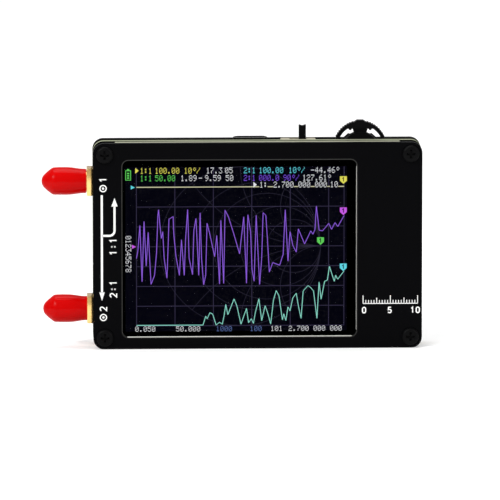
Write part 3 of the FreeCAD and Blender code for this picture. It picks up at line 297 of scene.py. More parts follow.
def lit(name, colour):
    """A lit dot of the display: its own light over black, with a faint unevenness of the cell."""
    material, tree = blank(name)
    tone = add(tree, "ShaderNodeMix", {0: grain(tree, 1.2, 2.0), 6: shade(colour, 0.88), 7: shade(colour)},
               data_type="RGBA")
    close(tree, {"Base Color": (0, 0, 0, 1), "Roughness": 0.12, "Specular IOR Level": 0.012,
                 "Emission Color": tone.outputs[2],
                 "Emission Strength": settings("analyzer_display").glow})
    return material


# Meshes

def put(name, data):
    """A new object of the scene that holds the data."""
    thing = bpy.data.objects.new(name, data)
    bpy.context.scene.collection.objects.link(thing)
    return thing


def make_piece(name, bm, finishes, body="analyzer", stands_for=(), crease=32.0, sheet=False):
    """Turns a mesh in millimetres into a named piece that rides on a body of the frame.

    A finish is a material or the name of one; a sheet is flat print that faces the viewer.
    """
    if sheet:
        bm.normal_update()
        for face in bm.faces:
            if face.normal.y > 0:
                face.normal_flip()
    else:
        bmesh.ops.recalc_face_normals(bm, faces=bm.faces)
    bmesh.ops.scale(bm, vec=(MM, MM, MM), verts=bm.verts)
    mesh = bpy.data.meshes.new(name)
    bm.to_mesh(mesh)
    bm.free()
    for material in finishes:
        mesh.materials.append(bpy.data.materials[material] if isinstance(material, str) else material)
    if not sheet:
        mesh.shade_smooth()
        mesh.set_sharp_from_angle(angle=math.radians(crease))
    piece = put(name, mesh)
    if stands_for:
        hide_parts(*stands_for)
    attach(piece, body)


def turned(bm, profile, origin, axis, steps=48, closed=False):
    """Turns a profile of (along, radius) pairs about a level axis through origin."""
    axis, side = Vector(axis), Vector((0, 0, 1))
    other = axis.cross(side)
    rings = []
    for along, radius in profile:
        base = Vector(origin) + axis * along
        if radius < 1e-4:
            rings.append([bm.verts.new(base)])
            continue
        turns = [math.tau * i / steps for i in range(steps)]
        rings.append([bm.verts.new(base + (side * math.cos(t) + other * math.sin(t)) * radius)
                      for t in turns])
    for a, b in list(zip(rings, rings[1:])) + ([(rings[-1], rings[0])] if closed else []):
        for i in range(steps):
            j = (i + 1) % steps
            loop = list(dict.fromkeys((a[i % len(a)], a[j % len(a)], b[j % len(b)], b[i % len(b)])))
            if len(loop) > 2:
                bm.faces.new(loop)


def slab(bm, low, high, index=0, bevel=0.0):
    """A block between two corners, with its edges rounded off."""
    made = bmesh.ops.create_cube(bm, size=1.0)["verts"]
    middle = [(a + b) / 2 for a, b in zip(low, high)]
    bmesh.ops.transform(bm, verts=made, matrix=Matrix.Translation(middle) @ Matrix.Diagonal(
        [b - a for a, b in zip(low, high)] + [1.0]))
    edges = list(dict.fromkeys(edge for vert in made for edge in vert.link_edges))
    faces = list(dict.fromkeys(face for vert in made for face in vert.link_faces))
    for face in faces:
        face.material_index = index
    if bevel:
        rounded = bmesh.ops.bevel(bm, geom=edges, offset=bevel, segments=2, profile=0.5,
                                  affect="EDGES", clamp_overlap=True)
        for face in rounded["faces"]:
            face.material_index = index


def plate(bm, points, y, index=0):
    """A flat outline of (x, z) points in the plane at depth y."""
    face = bm.faces.new([bm.verts.new((x, y, z)) for x, z in points])
    face.material_index = index


def ribbon(bm, points, width, y, index=0, loop=False):
    """A printed line of even width through (x, z) points."""
    count = len(points)
    rails = []
    for i, (x, z) in enumerate(points):
        before = points[i - 1] if i or loop else points[i]
        after = points[(i + 1) % count] if i + 1 < count or loop else points[i]
        one = Vector((x - before[0], z - before[1]))
        two = Vector((after[0] - x, after[1] - z))
        one = one.normalized() if one.length else two.normalized()
        two = two.normalized() if two.length else one
        normal = Vector((-(one + two).y, (one + two).x))
        normal = normal.normalized() if normal.length > 1e-6 else Vector((-one.y, one.x))
        # At a corner the rail moves out, but never by more than the line is wide
        lean = max(0.35, abs(normal.dot(Vector((-one.y, one.x)))))
        reach = min(width / 2 / lean, width)
        rails.append([bm.verts.new((x + s * normal.x * reach, y, z + s * normal.y * reach)) for s in (1, -1)])
    for i in range(count if loop else count - 1):
        a, b = rails[i], rails[(i + 1) % count]
        bm.faces.new((a[0], a[1], b[1], b[0])).material_index = index


def arc(x, z, radius, start, end, steps=24):
    """Points of an arc, in degrees from the x axis."""
    turns = [math.radians(start + (end - start) * i / steps) for i in range(steps + 1)]
    return [(x + radius * math.cos(t), z + radius * math.sin(t)) for t in turns]


# Plain digits as strokes in a cell 0.56 wide and 1 high
STROKES = {
    "0": [arc(0.28, 0.72, 0.28, 0, 180, 10) + arc(0.28, 0.28, 0.28, 180, 360, 10)],
    "1": [[(0.08, 0.76), (0.32, 1.0), (0.32, 0.0)]],
    "2": [arc(0.28, 0.72, 0.28, 165, -38, 12) + [(0.0, 0.0), (0.58, 0.0)]],
    "5": [[(0.52, 1.0), (0.1, 1.0), (0.05, 0.56)] + arc(0.27, 0.31, 0.3, 118, -150, 14)],
    ":": [arc(0.28, 0.72, 0.04, 0, 300, 5), arc(0.28, 0.26, 0.04, 0, 300, 5)],
}


def printed_digits(bm, text, height, middle, y, turn=0.0):
    """Plain digits drawn with an even stroke at depth y, turned about the y axis in degrees."""
    stroke_width, cell, gap = 0.3, 0.56, 0.24
    spin, pitch, tall = math.radians(turn), (cell + gap) * height, height - stroke_width
    start = -(len(text) * pitch - gap * height) / 2
    for place, character in enumerate(text):
        for stroke in STROKES[character]:
            points = []
            for x, z in stroke:
                x, z = start + place * pitch + x * tall, (z - 0.5) * tall
                points.append((middle[0] + x * math.cos(spin) - z * math.sin(spin),
                               middle[1] + x * math.sin(spin) + z * math.cos(spin)))
            ribbon(bm, points, stroke_width, y, loop=character in "0:")


# The frame's own nodes

def node_finishes():
    """Each surface that the frame's own nodes have, with the names of the nodes that get it."""
    hardware, ports = settings("analyzer_hardware"), settings("analyzer_ports")
    return {
        # Black epoxy soldermask, screened: satin black faces, pale cut edges
        soldermask("black_soldermask_on_fr4", True): "main_board",
        # The same mask with its edges as black as its faces: black all round, the back with more gloss
        soldermask("black_soldermask_matte_front", False): "front_panel",
        soldermask("black_soldermask_black_edge", False, 0.2): "back_panel",
        # Nickel-plated steel, deep drawn: bright with a soft grain
        finish("bright_nickel_plated_steel", hardware.steel, shade(hardware.steel, 0.8), 1.5, 0.26, 0.002,
               Metallic=1.0): "switch_wiper jog_leaf",
        # Drawn steel, its wall painted near black as a painted reflection of the dark room in front, with a
        # painted highlight along its upward rim
        steel_with_painted_highlight("drawn_steel_painted_dark_reflection", "#1C1C1C", "#D8D8D4"): "usb_shell",
        # The jog's cover: blackened, with a painted highlight on the faces that look up
        steel_with_painted_highlight("blackened_spring_steel", "#1A1A1A", "#E6E6E0"): "jog_cover",
        # Passivated zinc over steel: a soft cream silver
        finish("passivated_zinc_steel", "#C9C2A8", "#A39C84", 0.8, 0.4, 0.002, Metallic=0.7): "switch_cover",
        # Tin-plated steel, pressed and drawn one way: a dull silver
        finish("tinned_steel_can", "#B4B6B6", "#9FA1A2", 3.0, 0.34, 0.004, (1, 1, 6),
               Metallic=1.0): "shield_can_1 shield_can_2",
        # Turned brass spacers: warm yellow with fine turning rings
        finish("turned_brass", "#C9A35A", "#9E7B3C", 0.2, 0.3, 0.004, (1, 8, 1),
               Metallic=1.0): "rear_standoffs",
        # Black nylon, moulded: soft sheen
        finish("moulded_black_nylon", "#18181A", "#0E0E0F", 0.4, 0.55, 0.006, IOR=1.53): "front_spacers",
        # Black oxide on steel: deep grey with a metal's gloss
        finish("black_oxide_steel", hardware.oxide, shade(hardware.oxide, 0.6), 0.4, 0.38, 0.002,
               **{"Specular IOR Level": 0.05}): "front_screws rear_screws",
        # Pressed and blackened tray of the display: a dim metal sheen
        finish("blackened_display_tray", "#1A1A1C", "#101011", 1.0, 0.5, 0.003, Metallic=0.4): "lcd_frame",
        # Clear acrylic light guide, polished: pale and faintly blue
        finish("polished_acrylic", "#DDE3E8", "#C6CED6", 4.0, 0.12, IOR=1.49): "light_guide",
        # Display glass behind its black border: near black and glossy
        finish("display_cell_glass", "#040407", "#020203", 6.0, 0.12, IOR=1.52,
               **{"Specular IOR Level": 0.02}): "lcd_glass",
        # Closed-cell foam, die cut: matte black and finely pitted
        finish("black_cell_foam", "#131313", "#070707", 0.2, 0.9, 0.03, IOR=1.45): "display_gasket",
        # Amber polyimide film over copper: a warm brown
        finish("amber_polyimide_film", "#B8741C", "#8E5310", 1.2, 0.32, 0.003, (1, 1, 5),
               IOR=1.7): "lcd_ribbon touch_ribbon",
        # Gold-plated brass: rich yellow and glossy
        finish("gold_plated_brass", ports.gold, shade(ports.gold, 0.82), 2.0, 0.24, 0.002,
               Metallic=1.0): "sma_shell_1 sma_shell_2 sma_contact_1 sma_contact_2 usb_contacts",
        # White PTFE, turned: waxy white
        finish("turned_ptfe", "#ECEBE6", "#DAD8D0", 0.5, 0.5, 0.004, IOR=1.38, **{
            "Subsurface Weight": 0.1, "Subsurface Scale": 0.001}): "sma_insulator_1 sma_insulator_2",
        # Red vinyl, dipped: glossy and slightly uneven
        finish("dipped_red_vinyl", ports.cap, shade(ports.cap, 0.86), 4.0, 0.3, 0.02, IOR=1.54, **{
            "Specular IOR Level": 0.02, "Coat Weight": 0.1,
            "Coat Roughness": 0.07}): "port_cap_1 port_cap_2",
        # Black ABS, moulded: fine spark-eroded grain
        finish("moulded_black_abs", "#070708", "#030304", 0.25, 0.5, 0.004, IOR=1.5, **{
            "Specular IOR Level": 0.05}): "usb_tongue switch_lever jog_housing jog_lever jog_slider",
        # Brown phenolic board of the switch: warm brown, matte
        finish("brown_phenolic", "#6A3A1E", "#4B2611", 0.5, 0.6, 0.004, IOR=1.6): "switch_base",
        # Aluminium-laminate pouch: pale grey and softly crinkled
        finish("aluminium_laminate_pouch", "#B9BCBF", "#9DA0A4", 5.0, 0.36, 0.08,
               Metallic=0.8): "battery_cell",
        # Polyimide tape over the cell's end: smooth amber
        finish("amber_tape", "#D29A2C", "#B57C1C", 3.0, 0.3, 0.01, IOR=1.5): "battery_tape",
        # Silicone lead jackets, extruded: soft and matte
        finish("red_silicone_jacket", "#B41212", "#8F0B0B", 1.0, 0.5, 0.004, IOR=1.42): "battery_lead_red",
        finish("black_silicone_jacket", "#161616", "#0C0C0C", 1.0, 0.5, 0.004,
               IOR=1.42): "battery_lead_black",
        # White nylon, moulded: slightly creamy
        finish("moulded_white_nylon", "#E6E2D6", "#D3CEC0", 0.6, 0.5, 0.004,
               IOR=1.53): "battery_plug battery_socket",
        # Matte tin: soldered pins and feet, softly bright
        finish("matte_tin_solder", "#C9CBCB", "#A3A5A6", 0.5, 0.42, 0.01,
               Metallic=1.0): "switch_pins jog_feet crystal",
        # Ceramic chip bodies, fired: fawn and matte
        finish("fired_ceramic", "#7A6248", "#57432F", 0.4, 0.6, 0.004, IOR=1.6): "small_parts",
        # Moulded epoxy packages: charcoal with a fine grit
        finish("moulded_epoxy_package", "#1D1D1F", "#121213", 0.12, 0.62, 0.003,
               IOR=1.55): "processor chips",
        touch_film(): "touch_panel",
    }


class ANALYZER_OT_finishes(bpy.types.Operator):
    """Give every node of the frame the finish of the real part"""
    bl_idname = "analyzer.finishes"
    bl_label = "Node finishes"

    def execute(self, context):
        chosen = {name: material for material, names in node_finishes().items() for name in names.split()}
        for name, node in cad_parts.items():
            if not node.data.materials:
                node.data.materials.append(None)
            for slot in node.material_slots:
                slot.link = "OBJECT"
                slot.material = chosen[name]
        return {"FINISHED"}


class ANALYZER_OT_legend(bpy.types.Operator):
    """Print the front panel's arrows, port marks and plain tick scale"""
    bl_idname = "analyzer.legend"
    bl_label = "Front legend"

    def execute(self, context):
        board = settings("analyzer_boards")
        low, high = corners("front_panel")
        y, left, middle = low[1] - PRINT, low[0], (low[2] + high[2]) / 2
        wide, tall = board.arrow_width / MM, board.digit_height / MM
        bm = bmesh.new()
        # The long arrow runs down beside the window, from one port to the other
        line = left + 2.25
        ribbon(bm, [(line, middle + 13.5), (line, middle - 12.2)], wide, y)
        plate(bm, [(line - 0.69, middle - 12.0), (line + 0.69, middle - 12.0), (line, middle - 14.2)], y)
        # A branch leaves it, bends up and points at the upper port
        turn, branch = 1.35, line + 3.3
        bend = arc(branch - turn, middle + 2.86 + turn, turn, -90, 0, 8)
        ribbon(bm, [(line, middle + 2.86)] + bend + [(branch, middle + 10.7)], wide, y)
        plate(bm, [(branch - 0.8, middle + 10.55), (branch + 0.8, middle + 10.55),
                   (branch, middle + 12.75)], y)
        # Ring and centre mark with a plain number beside each port, turned to be read from the right
        column = left + 2.6
        for number, centre in (("1", middle + 16.4), ("2", middle - 17.45)):
            ribbon(bm, arc(column, centre - 1.15, 0.82, 0, 348, 24)[:24], 0.28, y, loop=True)
            plate(bm, arc(column, centre - 1.15, 0.3, 0, 337.5, 15), y)
            printed_digits(bm, number, tall, (column, centre + 1.2), y, 90.0)
        for words, centre in (("1:1", middle + 0.05), ("2:1", middle - 11.1)):
            printed_digits(bm, words, tall, (left + 5.2, centre), y, 90.0)
        # A plain tick scale with numbers fills the place at the lower right
        first, last, base, ticks = 27.4, 41.6, middle - 15.3, 20
        ribbon(bm, [(first, base), (last, base)], 0.22, y)
        for i in range(ticks + 1):
            x = first + (last - first) * i / ticks
            reach = 2.1 if i % 10 == 0 else 1.5 if i % 5 == 0 else 0.9
            ribbon(bm, [(x, base), (x, base + reach)], 0.2, y)
        for i, number in enumerate(("0", "5", "10")):
            printed_digits(bm, number, 1.75, (first + 0.35 + (last - first - 0.9) * i / 2, base - 1.75), y)
        # White epoxy ink, screened and baked: bright, matte, slightly uneven at its grain
        ink = finish("white_epoxy_legend_ink", board.ink, shade(board.ink, 0.9), 0.3, 0.6, 0.002, IOR=1.5)
        make_piece("front_legend", bm, [ink], sheet=True)
        return {"FINISHED"}


class ANALYZER_OT_edges(bpy.types.Operator):
    """Fit the strip behind the top edge, the routed edge of the window and its pale lip, painted as the
    highlight of the window's walls
    """
    bl_idname = "analyzer.edges"
    bl_label = "Edge strips"

    def execute(self, context):
        board = settings("analyzer_boards")
        low, high = corners("front_panel")
        main_low, _ = corners("main_board")
        # Laminate strip bonded behind the front board, along its top edge between the corner spacers
        bm = bmesh.new()
        half, tall, gap, step = 37.0, 1.5, 0.7, 0.06
        slab(bm, (-half, high[1], high[2] - tall), (half, main_low[1] - gap, high[2] - step), bevel=0.08)
        # Laminate, sawn: dull straw with its fibres along the cut
        fibre = finish("sawn_fr4_strip", shade(board.core, 0.86), shade(board.core, 0.6), 0.5, 0.75, 0.01,
                       (0.3, 2.0, 2.0), IOR=1.55)
        make_piece("top_edge_strip", bm, [fibre])

        # Bare routed edge round the window, where the mask stops short of the cut
        edge = 0.2
        left, right, base, top, turn = -35.28, 25.78, 2.97, 49.63, 1.7
        outline = []
        for x, z, start in ((right - turn, top - turn, 0), (left + turn, top - turn, 90),
                            (left + turn, base + turn, 180), (right - turn, base + turn, 270)):
            outline += arc(x, z, turn, start, start + 90, 6)
        bm = bmesh.new()
        ribbon(bm, outline, edge, low[1] - 0.01, loop=True)
        # Routed laminate with mask dust in it: a dull dark grey
        routed = finish("routed_fr4_edge", "#3C3C3A", "#232322", 0.4, 0.7, 0.004, IOR=1.55,
                        **{"Specular IOR Level": 0.1})
        make_piece("window_routed_edge", bm, [routed], sheet=True)

        # White strips along the window's lower and right walls: the pale laminate of the walls, brightened
        # into a painted highlight where they catch the light
        glass_low, glass_high = corners("lcd_glass")
        front, back, wall = low[1] + 0.03, low[1] + 0.6, right - edge / 2
        bm = bmesh.new()
        slab(bm, (glass_low[0] + 2.6, front, glass_low[2] + 1.7),
             (glass_high[0] - 6.9, back, glass_low[2] + 1.82), bevel=0.03)
        slab(bm, (wall - 0.08, front, 4.8), (wall, back, 47.8), bevel=0.02)
        # Pale laminate with a painted highlight: soft white
        lip = finish("pale_wall_painted_highlight", "#F2F2EE", "#DEDED8", 0.8, 0.55, 0.01, IOR=1.48)
        make_piece("window_lower_lip", bm, [lip])
        return {"FINISHED"}


class ANALYZER_OT_jog_cover(bpy.types.Operator):
    """Bend the two flanks of the jog switch's cover plate, whose upward faces take the cover's painted
    highlight
    """
    bl_idname = "analyzer.jog_cover"
    bl_label = "Jog cover flanks"

    def execute(self, context):
        low, high = corners("jog_lever")
        middle = (low[0] + high[0]) / 2
        # From the tab up to a tangent on the dome; the lever swings in front of it
        profile = [(-5.0, 51.6), (-5.0, 53.35), (-4.8, 53.65), (-3.1, 55.2), (-2.5, 55.1), (-2.5, 51.6)]
        bm = bmesh.new()
        for side in (1, -1):
            front, back = ([bm.verts.new((middle + side * x, high[1] + behind, z)) for x, z in profile]
                           for behind in (0.04, 0.2))
            bm.faces.new(front)
            bm.faces.new(back)
            for i in range(len(profile)):
                j = (i + 1) % len(profile)
                bm.faces.new((front[i], front[j], back[j], back[i]))
        make_piece("jog_cover_flanks", bm, ["blackened_spring_steel"], crease=20)
        return {"FINISHED"}


# Rows of the dot typeface, five dots wide, each row as a number
DOTS = {
    "0": (14, 17, 19, 21, 25, 17, 14), "1": (4, 12, 4, 4, 4, 4, 14), "2": (14, 17, 1, 6, 8, 16, 31),
    "3": (31, 2, 4, 2, 1, 17, 14), "4": (2, 6, 10, 18, 31, 2, 2), "5": (31, 16, 30, 1, 1, 17, 14),
    "6": (6, 8, 16, 30, 17, 17, 14), "7": (31, 1, 2, 4, 8, 8, 8), "8": (14, 17, 17, 14, 17, 17, 14),
    "9": (14, 17, 17, 15, 1, 2, 12), ".": (0, 0, 0, 0, 0, 12, 12), "-": (0, 0, 0, 31, 0, 0, 0),
    ":": (0, 12, 12, 0, 12, 12, 0), "/": (1, 1, 2, 4, 8, 16, 16), "*": (6, 9, 9, 6, 0, 0, 0),
    " ": (0,) * 7,
}

# Dots of the display, across and down
WIDE, TALL = 320, 240

# Turning points of the two restless traces, across and down in dots of the display
SWING = (16, 133, 18, 122, 21, 85, 24, 167, 27, 79, 30, 144, 33, 95, 37, 171, 42, 158, 45, 125, 47, 71,
         48, 62, 50, 85, 52, 104, 54, 94, 56, 133, 60, 162, 62, 108, 63, 76, 69, 72, 70, 98, 73, 130,
         78, 158, 81, 106, 85, 158, 87, 105, 90, 62, 92, 133, 97, 157, 99, 92, 102, 75, 106, 158, 108, 67,
         110, 133, 113, 172, 116, 158, 118, 82, 122, 98, 129, 131, 132, 100, 136, 171, 138, 78, 142, 170,
         144, 63, 149, 73, 157, 99, 165, 127, 171, 73, 175, 170, 177, 70, 181, 95, 183, 150, 186, 167,
         189, 71, 194, 172, 197, 133, 199, 67, 203, 71, 206, 118, 208, 154, 213, 140, 223, 144, 228, 128,
         231, 63, 235, 138, 238, 95, 242, 115, 247, 125, 250, 91, 259, 113, 268, 94, 271, 99, 274, 92,
         276, 58, 280, 93, 285, 94, 294, 83, 298, 92, 303, 82, 307, 88, 316, 72)
CLIMB = (16, 231, 112, 231, 116, 218, 118, 222, 122, 213, 126, 215, 131, 231, 136, 227, 140, 230,
         143, 215, 145, 201, 148, 216, 157, 193, 161, 203, 167, 230, 175, 207, 178, 228, 182, 222,
         185, 229, 188, 212, 193, 193, 197, 225, 202, 203, 206, 215, 210, 230, 214, 195, 218, 181,
         222, 189, 227, 224, 229, 215, 232, 225, 235, 205, 238, 211, 242, 192, 247, 185, 250, 203,
         254, 222, 257, 182, 264, 174, 268, 177, 272, 182, 277, 222, 280, 169, 283, 194, 288, 168,
         292, 166, 295, 146, 302, 168, 304, 159, 307, 165, 316, 153)

# Readouts, numbers and signs only: words, dots across and down, colour
READOUTS = (
    ("1:1", 21.5, 0.8, "yellow"), ("100.00", 43, 0.8, "yellow"), ("10*/", 85, 0.8, "yellow"),
    ("17.3", 117, 0.8, "white"), ("05", 144, 0.8, "white"),
    ("1:1", 21.5, 11.8, "green"), ("50.00", 43, 11.8, "green"), ("1.89", 80, 11.8, "white"),
    ("-", 106, 11.8, "white"), ("9.59 50", 115, 11.8, "white"),
    ("2:1", 171, 0.8, "cyan"), ("100.00", 193, 0.8, "cyan"), ("10*/", 236, 0.8, "cyan"),
    ("-44.46*", 268, 0.8, "white"), ("2:1", 171, 11.8, "violet"), ("90*/", 228, 11.8, "violet"),
    ("000.0", 193, 11.8, "violet"), ("127.61*", 256, 11.8, "white"),
)
MARKER_READOUTS = (("1:", 194), ("2.700 000 000", 214), ("10", 296))
SWEEP_READOUTS = (("0.050", 14, "white"), ("50.000", 73, "white"), ("1000", 131, "dim_blue"),
                  ("100", 180, "dim_blue"), ("101", 210, "white"), ("2.700 000 000", 236, "white"))


class Screen:
    """Places dots of the display, counted from its top left corner, on the glass."""

    def __init__(self, colours):
        display = settings("analyzer_display")
        low, high = corners("lcd_glass")
        self.dot = display.pixel / MM
        self.left = low[0] + display.left / MM
        self.top = high[2] - display.top / MM
        self.face = low[1]
        self.order = list(colours)
        self.bm = bmesh.new()

    def spot(self, across, down):
        return self.left + across * self.dot, self.top - down * self.dot

    def line(self, points, width, layer, colour, loop=False):
        ribbon(self.bm, [self.spot(*p) for p in points], width * self.dot, self.face - layer * LAYER,
               self.order.index(colour), loop)

    def area(self, points, layer, colour):
        plate(self.bm, [self.spot(*p) for p in points], self.face - layer * LAYER, self.order.index(colour))

    def block(self, left, top, right, bottom, layer, colour):
        self.area([(left, top), (right, top), (right, bottom), (left, bottom)], layer, colour)

    def trace(self, points, width, layer, colour):
        """A trace as the display draws it: each run keeps its width, however sharp the turn."""
        half = width / 2
        for (a, b), (c, d) in zip(points, points[1:]):
            if abs(d - b) > abs(c - a):
                quad = [(a - half, b), (a + half, b), (c + half, d), (c - half, d)]
            else:
                quad = [(a, b - half), (a, b + half), (c, d + half), (c, d - half)]
            self.area(quad, layer, colour)

    def text(self, words, across, down, colour, tall=1.25, sideways=False, on_field=False):
        """Digits of 5 by 7 dots in cells six dots wide; tall stretches them, sideways turns them.

        on_field puts a dark cell behind each character.
        """
        layer = 6
        for character in words:
            if on_field and character != " ":
                self.block(across - 0.6, down - 0.8, across + 5.6, down + 7 * tall + 0.8,
                           layer - 0.5, "field")
            for row, bits in enumerate(DOTS[character]):
                # Each run of lit dots in a row is one block
                for run in re.finditer("1+", f"{bits:05b}"):
                    a, b = run.start() + 0.1, run.end() - 0.1
                    c, d = row * tall + 0.14, (row + 1) * tall - 0.14
                    if sideways:
                        self.area([(across - c, down + a), (across - c, down + b),
                                   (across - d, down + b), (across - d, down + a)], layer, colour)
                    else:
                        self.block(across + a, down + c, across + b, down + d, layer, colour)
            if sideways:
                down += 6
            else:
                across += 6


class ANALYZER_OT_display(bpy.types.Operator):
    """Draw the measuring grid, the chart, the traces and the plain readouts of the display"""
    bl_idname = "analyzer.display"
    bl_label = "Display picture"

    def execute(self, context):
        display = settings("analyzer_display")
        colours = {"field": display.back, "grid": display.grid, "chart": display.chart,
                   "flat_trace": display.flat, "phase_trace": display.phase, "level_trace": display.level,
                   "white": linear("#E4E6EA"), "yellow": linear("#E3DC5A"), "green": linear("#5FD05A"),
                   "cyan": linear("#62D8E6"), "violet": linear("#7A4FE0"), "magenta": linear("#C85BE6"),
                   "dim_blue": linear("#5A6FA8")}
        screen = Screen(colours)
        screen.block(0, 0, WIDE, TALL, 1, "field")
        # Impedance chart: circles of even resistance and arcs of even reactance inside a rim
        middle, rim, size, fine = 166.0, 116.0, 116.0, 0.9
        screen.line(arc(middle, rim, size, 0, 357, 119), fine, 2, "chart", True)
        for share in (0.25, 0.5, 1.0, 2.0):
            radius = size / (1 + share)
            screen.line(arc(middle + size - radius, rim, radius, 0, 355, 71), fine, 2, "chart", True)
        for share in (0.5, 1.0, 2.0):
            radius, sweep = size / share, math.degrees(2 * math.atan(share))
            for way in (1, -1):
                screen.line(arc(middle + size, rim - way * radius, radius, way * 90, way * (90 + sweep), 24),
                            fine, 2, "chart")
        # Grid: every 500 of 2700 across, eight steps down
        left, right, foot = 16, 316, 232
        for across in [left + 300 * step / 5.4 for step in range(6)] + [right]:
            screen.line([(across, 0), (across, foot)], 1.1, 3, "grid")
        for step in range(1, 9):
            screen.line([(left, 29 * step), (right, 29 * step)], 1.1, 3, "grid")
        screen.trace([(left, 29.2), (right, 29.2)], 1.35, 4, "flat_trace")
        screen.trace(list(zip(CLIMB[::2], CLIMB[1::2])), 1.05, 4, "level_trace")
        screen.trace(list(zip(SWING[::2], SWING[1::2])), 1.05, 5, "phase_trace")
        # Pointers at the left border
        screen.area([(8, 26.5), (14, 29.4), (8, 32.3)], 5, "cyan")
        screen.area([(9.5, 113), (15.5, 116), (9.5, 119)], 5, "magenta")
        # Markers: small shields with a dark number
        for across, down, colour in ((315, 25.5, "yellow"), (315, 71, "magenta"), (282, 114.5, "green"),
                                     (315, 153, "cyan")):
            screen.area([(across - 5, down - 11), (across + 5, down - 11), (across + 5, down - 4.5),
                         (across, down), (across - 5, down - 4.5)], 7, colour)
            screen.line([(across - 1.6, down - 7.6), (across + 0.2, down - 9.2), (across + 0.2, down - 3.4)],
                        1.3, 8, "field")
        # Battery mark with three bars
        screen.line([(0.6, 5), (0.6, 18.6), (7.8, 18.6), (7.8, 5)], 1.0, 5, "green", True)
        screen.block(2.6, 2.6, 5.8, 5, 5, "green")
        for step in range(3):
            screen.block(2.6, 8 + step * 3.3, 5.8, 10 + step * 3.3, 5, "green")
        screen.area([(14.5, 0.8), (19.6, 5), (14.5, 9.2)], 6, "yellow")
        for readout in READOUTS:
            screen.text(*readout)
        screen.area([(185, 22), (190, 26.2), (185, 30.4)], 6, "white")
        for words, across in MARKER_READOUTS:
            screen.text(words, across, 21.8, "white", on_field=True)
        for words, across, colour in SWEEP_READOUTS:
            screen.text(words, across, 232.6, colour, 1.1)
        screen.text("012345678", 8.5, 100, "white", 1.2, True)
        make_piece("display_picture", screen.bm, [lit(f"lit_{name}", c) for name, c in colours.items()],
                   sheet=True)
        return {"FINISHED"}


class ANALYZER_OT_ports(bpy.types.Operator):
    """Cut the threads of the two coaxial ports and dip their vinyl caps"""
    bl_idname = "analyzer.ports"
    bl_label = "Ports and caps"

    def execute(self, context):
        for number, word in ((1, "upper"), (2, "lower")):
            inner, outer = corners(f"sma_insulator_{number}")
            z = (inner[2] + outer[2]) / 2
            self.port(number, word, z, (outer[2] - inner[2]) / 2 + 0.02)
            self.cap(number, word, z)
        return {"FINISHED"}

    def port(self, number, word, z, bore):
        ports = settings("analyzer_ports")
        low, high = corners(f"sma_shell_{number}")
        # Square flange with rounded edges, then the round barrel with its relief groove
        face, flange, reach = low[0] + 8.6, low[0] + 10.2, 3.5
        bm = bmesh.new()
        slab(bm, (face, -reach, z - reach), (flange, reach, z + reach), bevel=0.25)
        crest, pitch, along = 3.175, ports.thread_pitch / MM, 2.9
        root = crest - ports.thread_depth / MM
        profile = [(0.0, 2.7), (2.6, 2.7), (2.75, root)]
        while along + pitch < 8.1:
            profile += [(along, root), (along + pitch * 0.38, crest), (along + pitch * 0.55, crest),
                        (along + pitch * 0.93, root)]
            along += pitch
        profile += [(8.2, root), (8.6, 2.85), (8.6, 2.35), (6.7, 2.3), (6.6, bore), (0.0, bore)]
        turned(bm, profile, (face, 0, z), (-1, 0, 0), 40, closed=True)
        # Legs that straddle the board's edge
        near, far = 0.82, 0.82 + 0.95
        for leg in (z - 2.85, z + 2.85):
            for y_low, y_high in ((-far, -near), (near, far)):
                slab(bm, (flange - 0.1, y_low, leg - 0.6), (high[0], y_high, leg + 0.6), bevel=0.12)
        make_piece(f"port_{word}_threaded", bm, ["gold_plated_brass"],
                   stands_for=(f"sma_shell_{number}",))

    def cap(self, number, word, z):
        ports = settings("analyzer_ports")
        low, high = corners(f"port_cap_{number}")
        mouth, belly = ports.mouth / MM, ports.belly / MM
        # Dipped skin: a mouth drawn in behind the thread, a slow swell and a blunt cone
        outer_wall = [(-0.26, mouth - 0.2), (-0.2, mouth - 0.06), (-0.06, mouth), (0.8, mouth + 0.03),
                      (1.3, mouth + 0.07), (2.0, mouth + 0.16), (2.8, belly - 0.2), (3.6, belly - 0.09),
                      (4.6, belly - 0.02), (6.5, belly), (7.8, belly - 0.02), (8.3, belly - 0.07),
                      (8.65, belly - 0.22), (9.2, belly - 0.62), (9.9, belly - 1.2), (10.4, belly - 1.65),
                      (10.8, belly - 2.06), (11.1, belly - 2.5), (11.28, belly - 2.95), (11.36, 0.0)]
        inner_wall = [(8.9, 0.0), (8.8, 2.2), (8.4, 3.0), (8.0, 3.2), (2.6, 3.2), (2.2, 3.05),
                      (1.6, 2.84), (0.2, 2.78), (-0.22, 2.86)]
        bm = bmesh.new()
        for wall in (outer_wall, inner_wall):
            turned(bm, wall, (high[0], 0, z), (-1, 0, 0), 56)
        bmesh.ops.bridge_loops(bm, edges=[e for e in bm.edges if e.is_boundary])
        # A dipped skin is never quite round: a slow wander of a few hundredths
        chance = random.Random(number)
        two_fold, three_fold = (chance.uniform(0, math.tau) for _ in range(2))
        for vert in bm.verts:
            turn = math.atan2(vert.co.y, vert.co.z - z)
            along = high[0] - vert.co.x
            swell = 1 + 0.006 * math.sin(2 * turn + two_fold + along * 0.4) \
                + 0.004 * math.sin(3 * turn + three_fold - along * 0.7)
            vert.co.y *= swell
            vert.co.z = z + (vert.co.z - z) * swell
        make_piece(f"cap_{word}_dipped", bm, ["dipped_red_vinyl"], body=f"cap_{word}",
                   stands_for=(f"port_cap_{number}",))


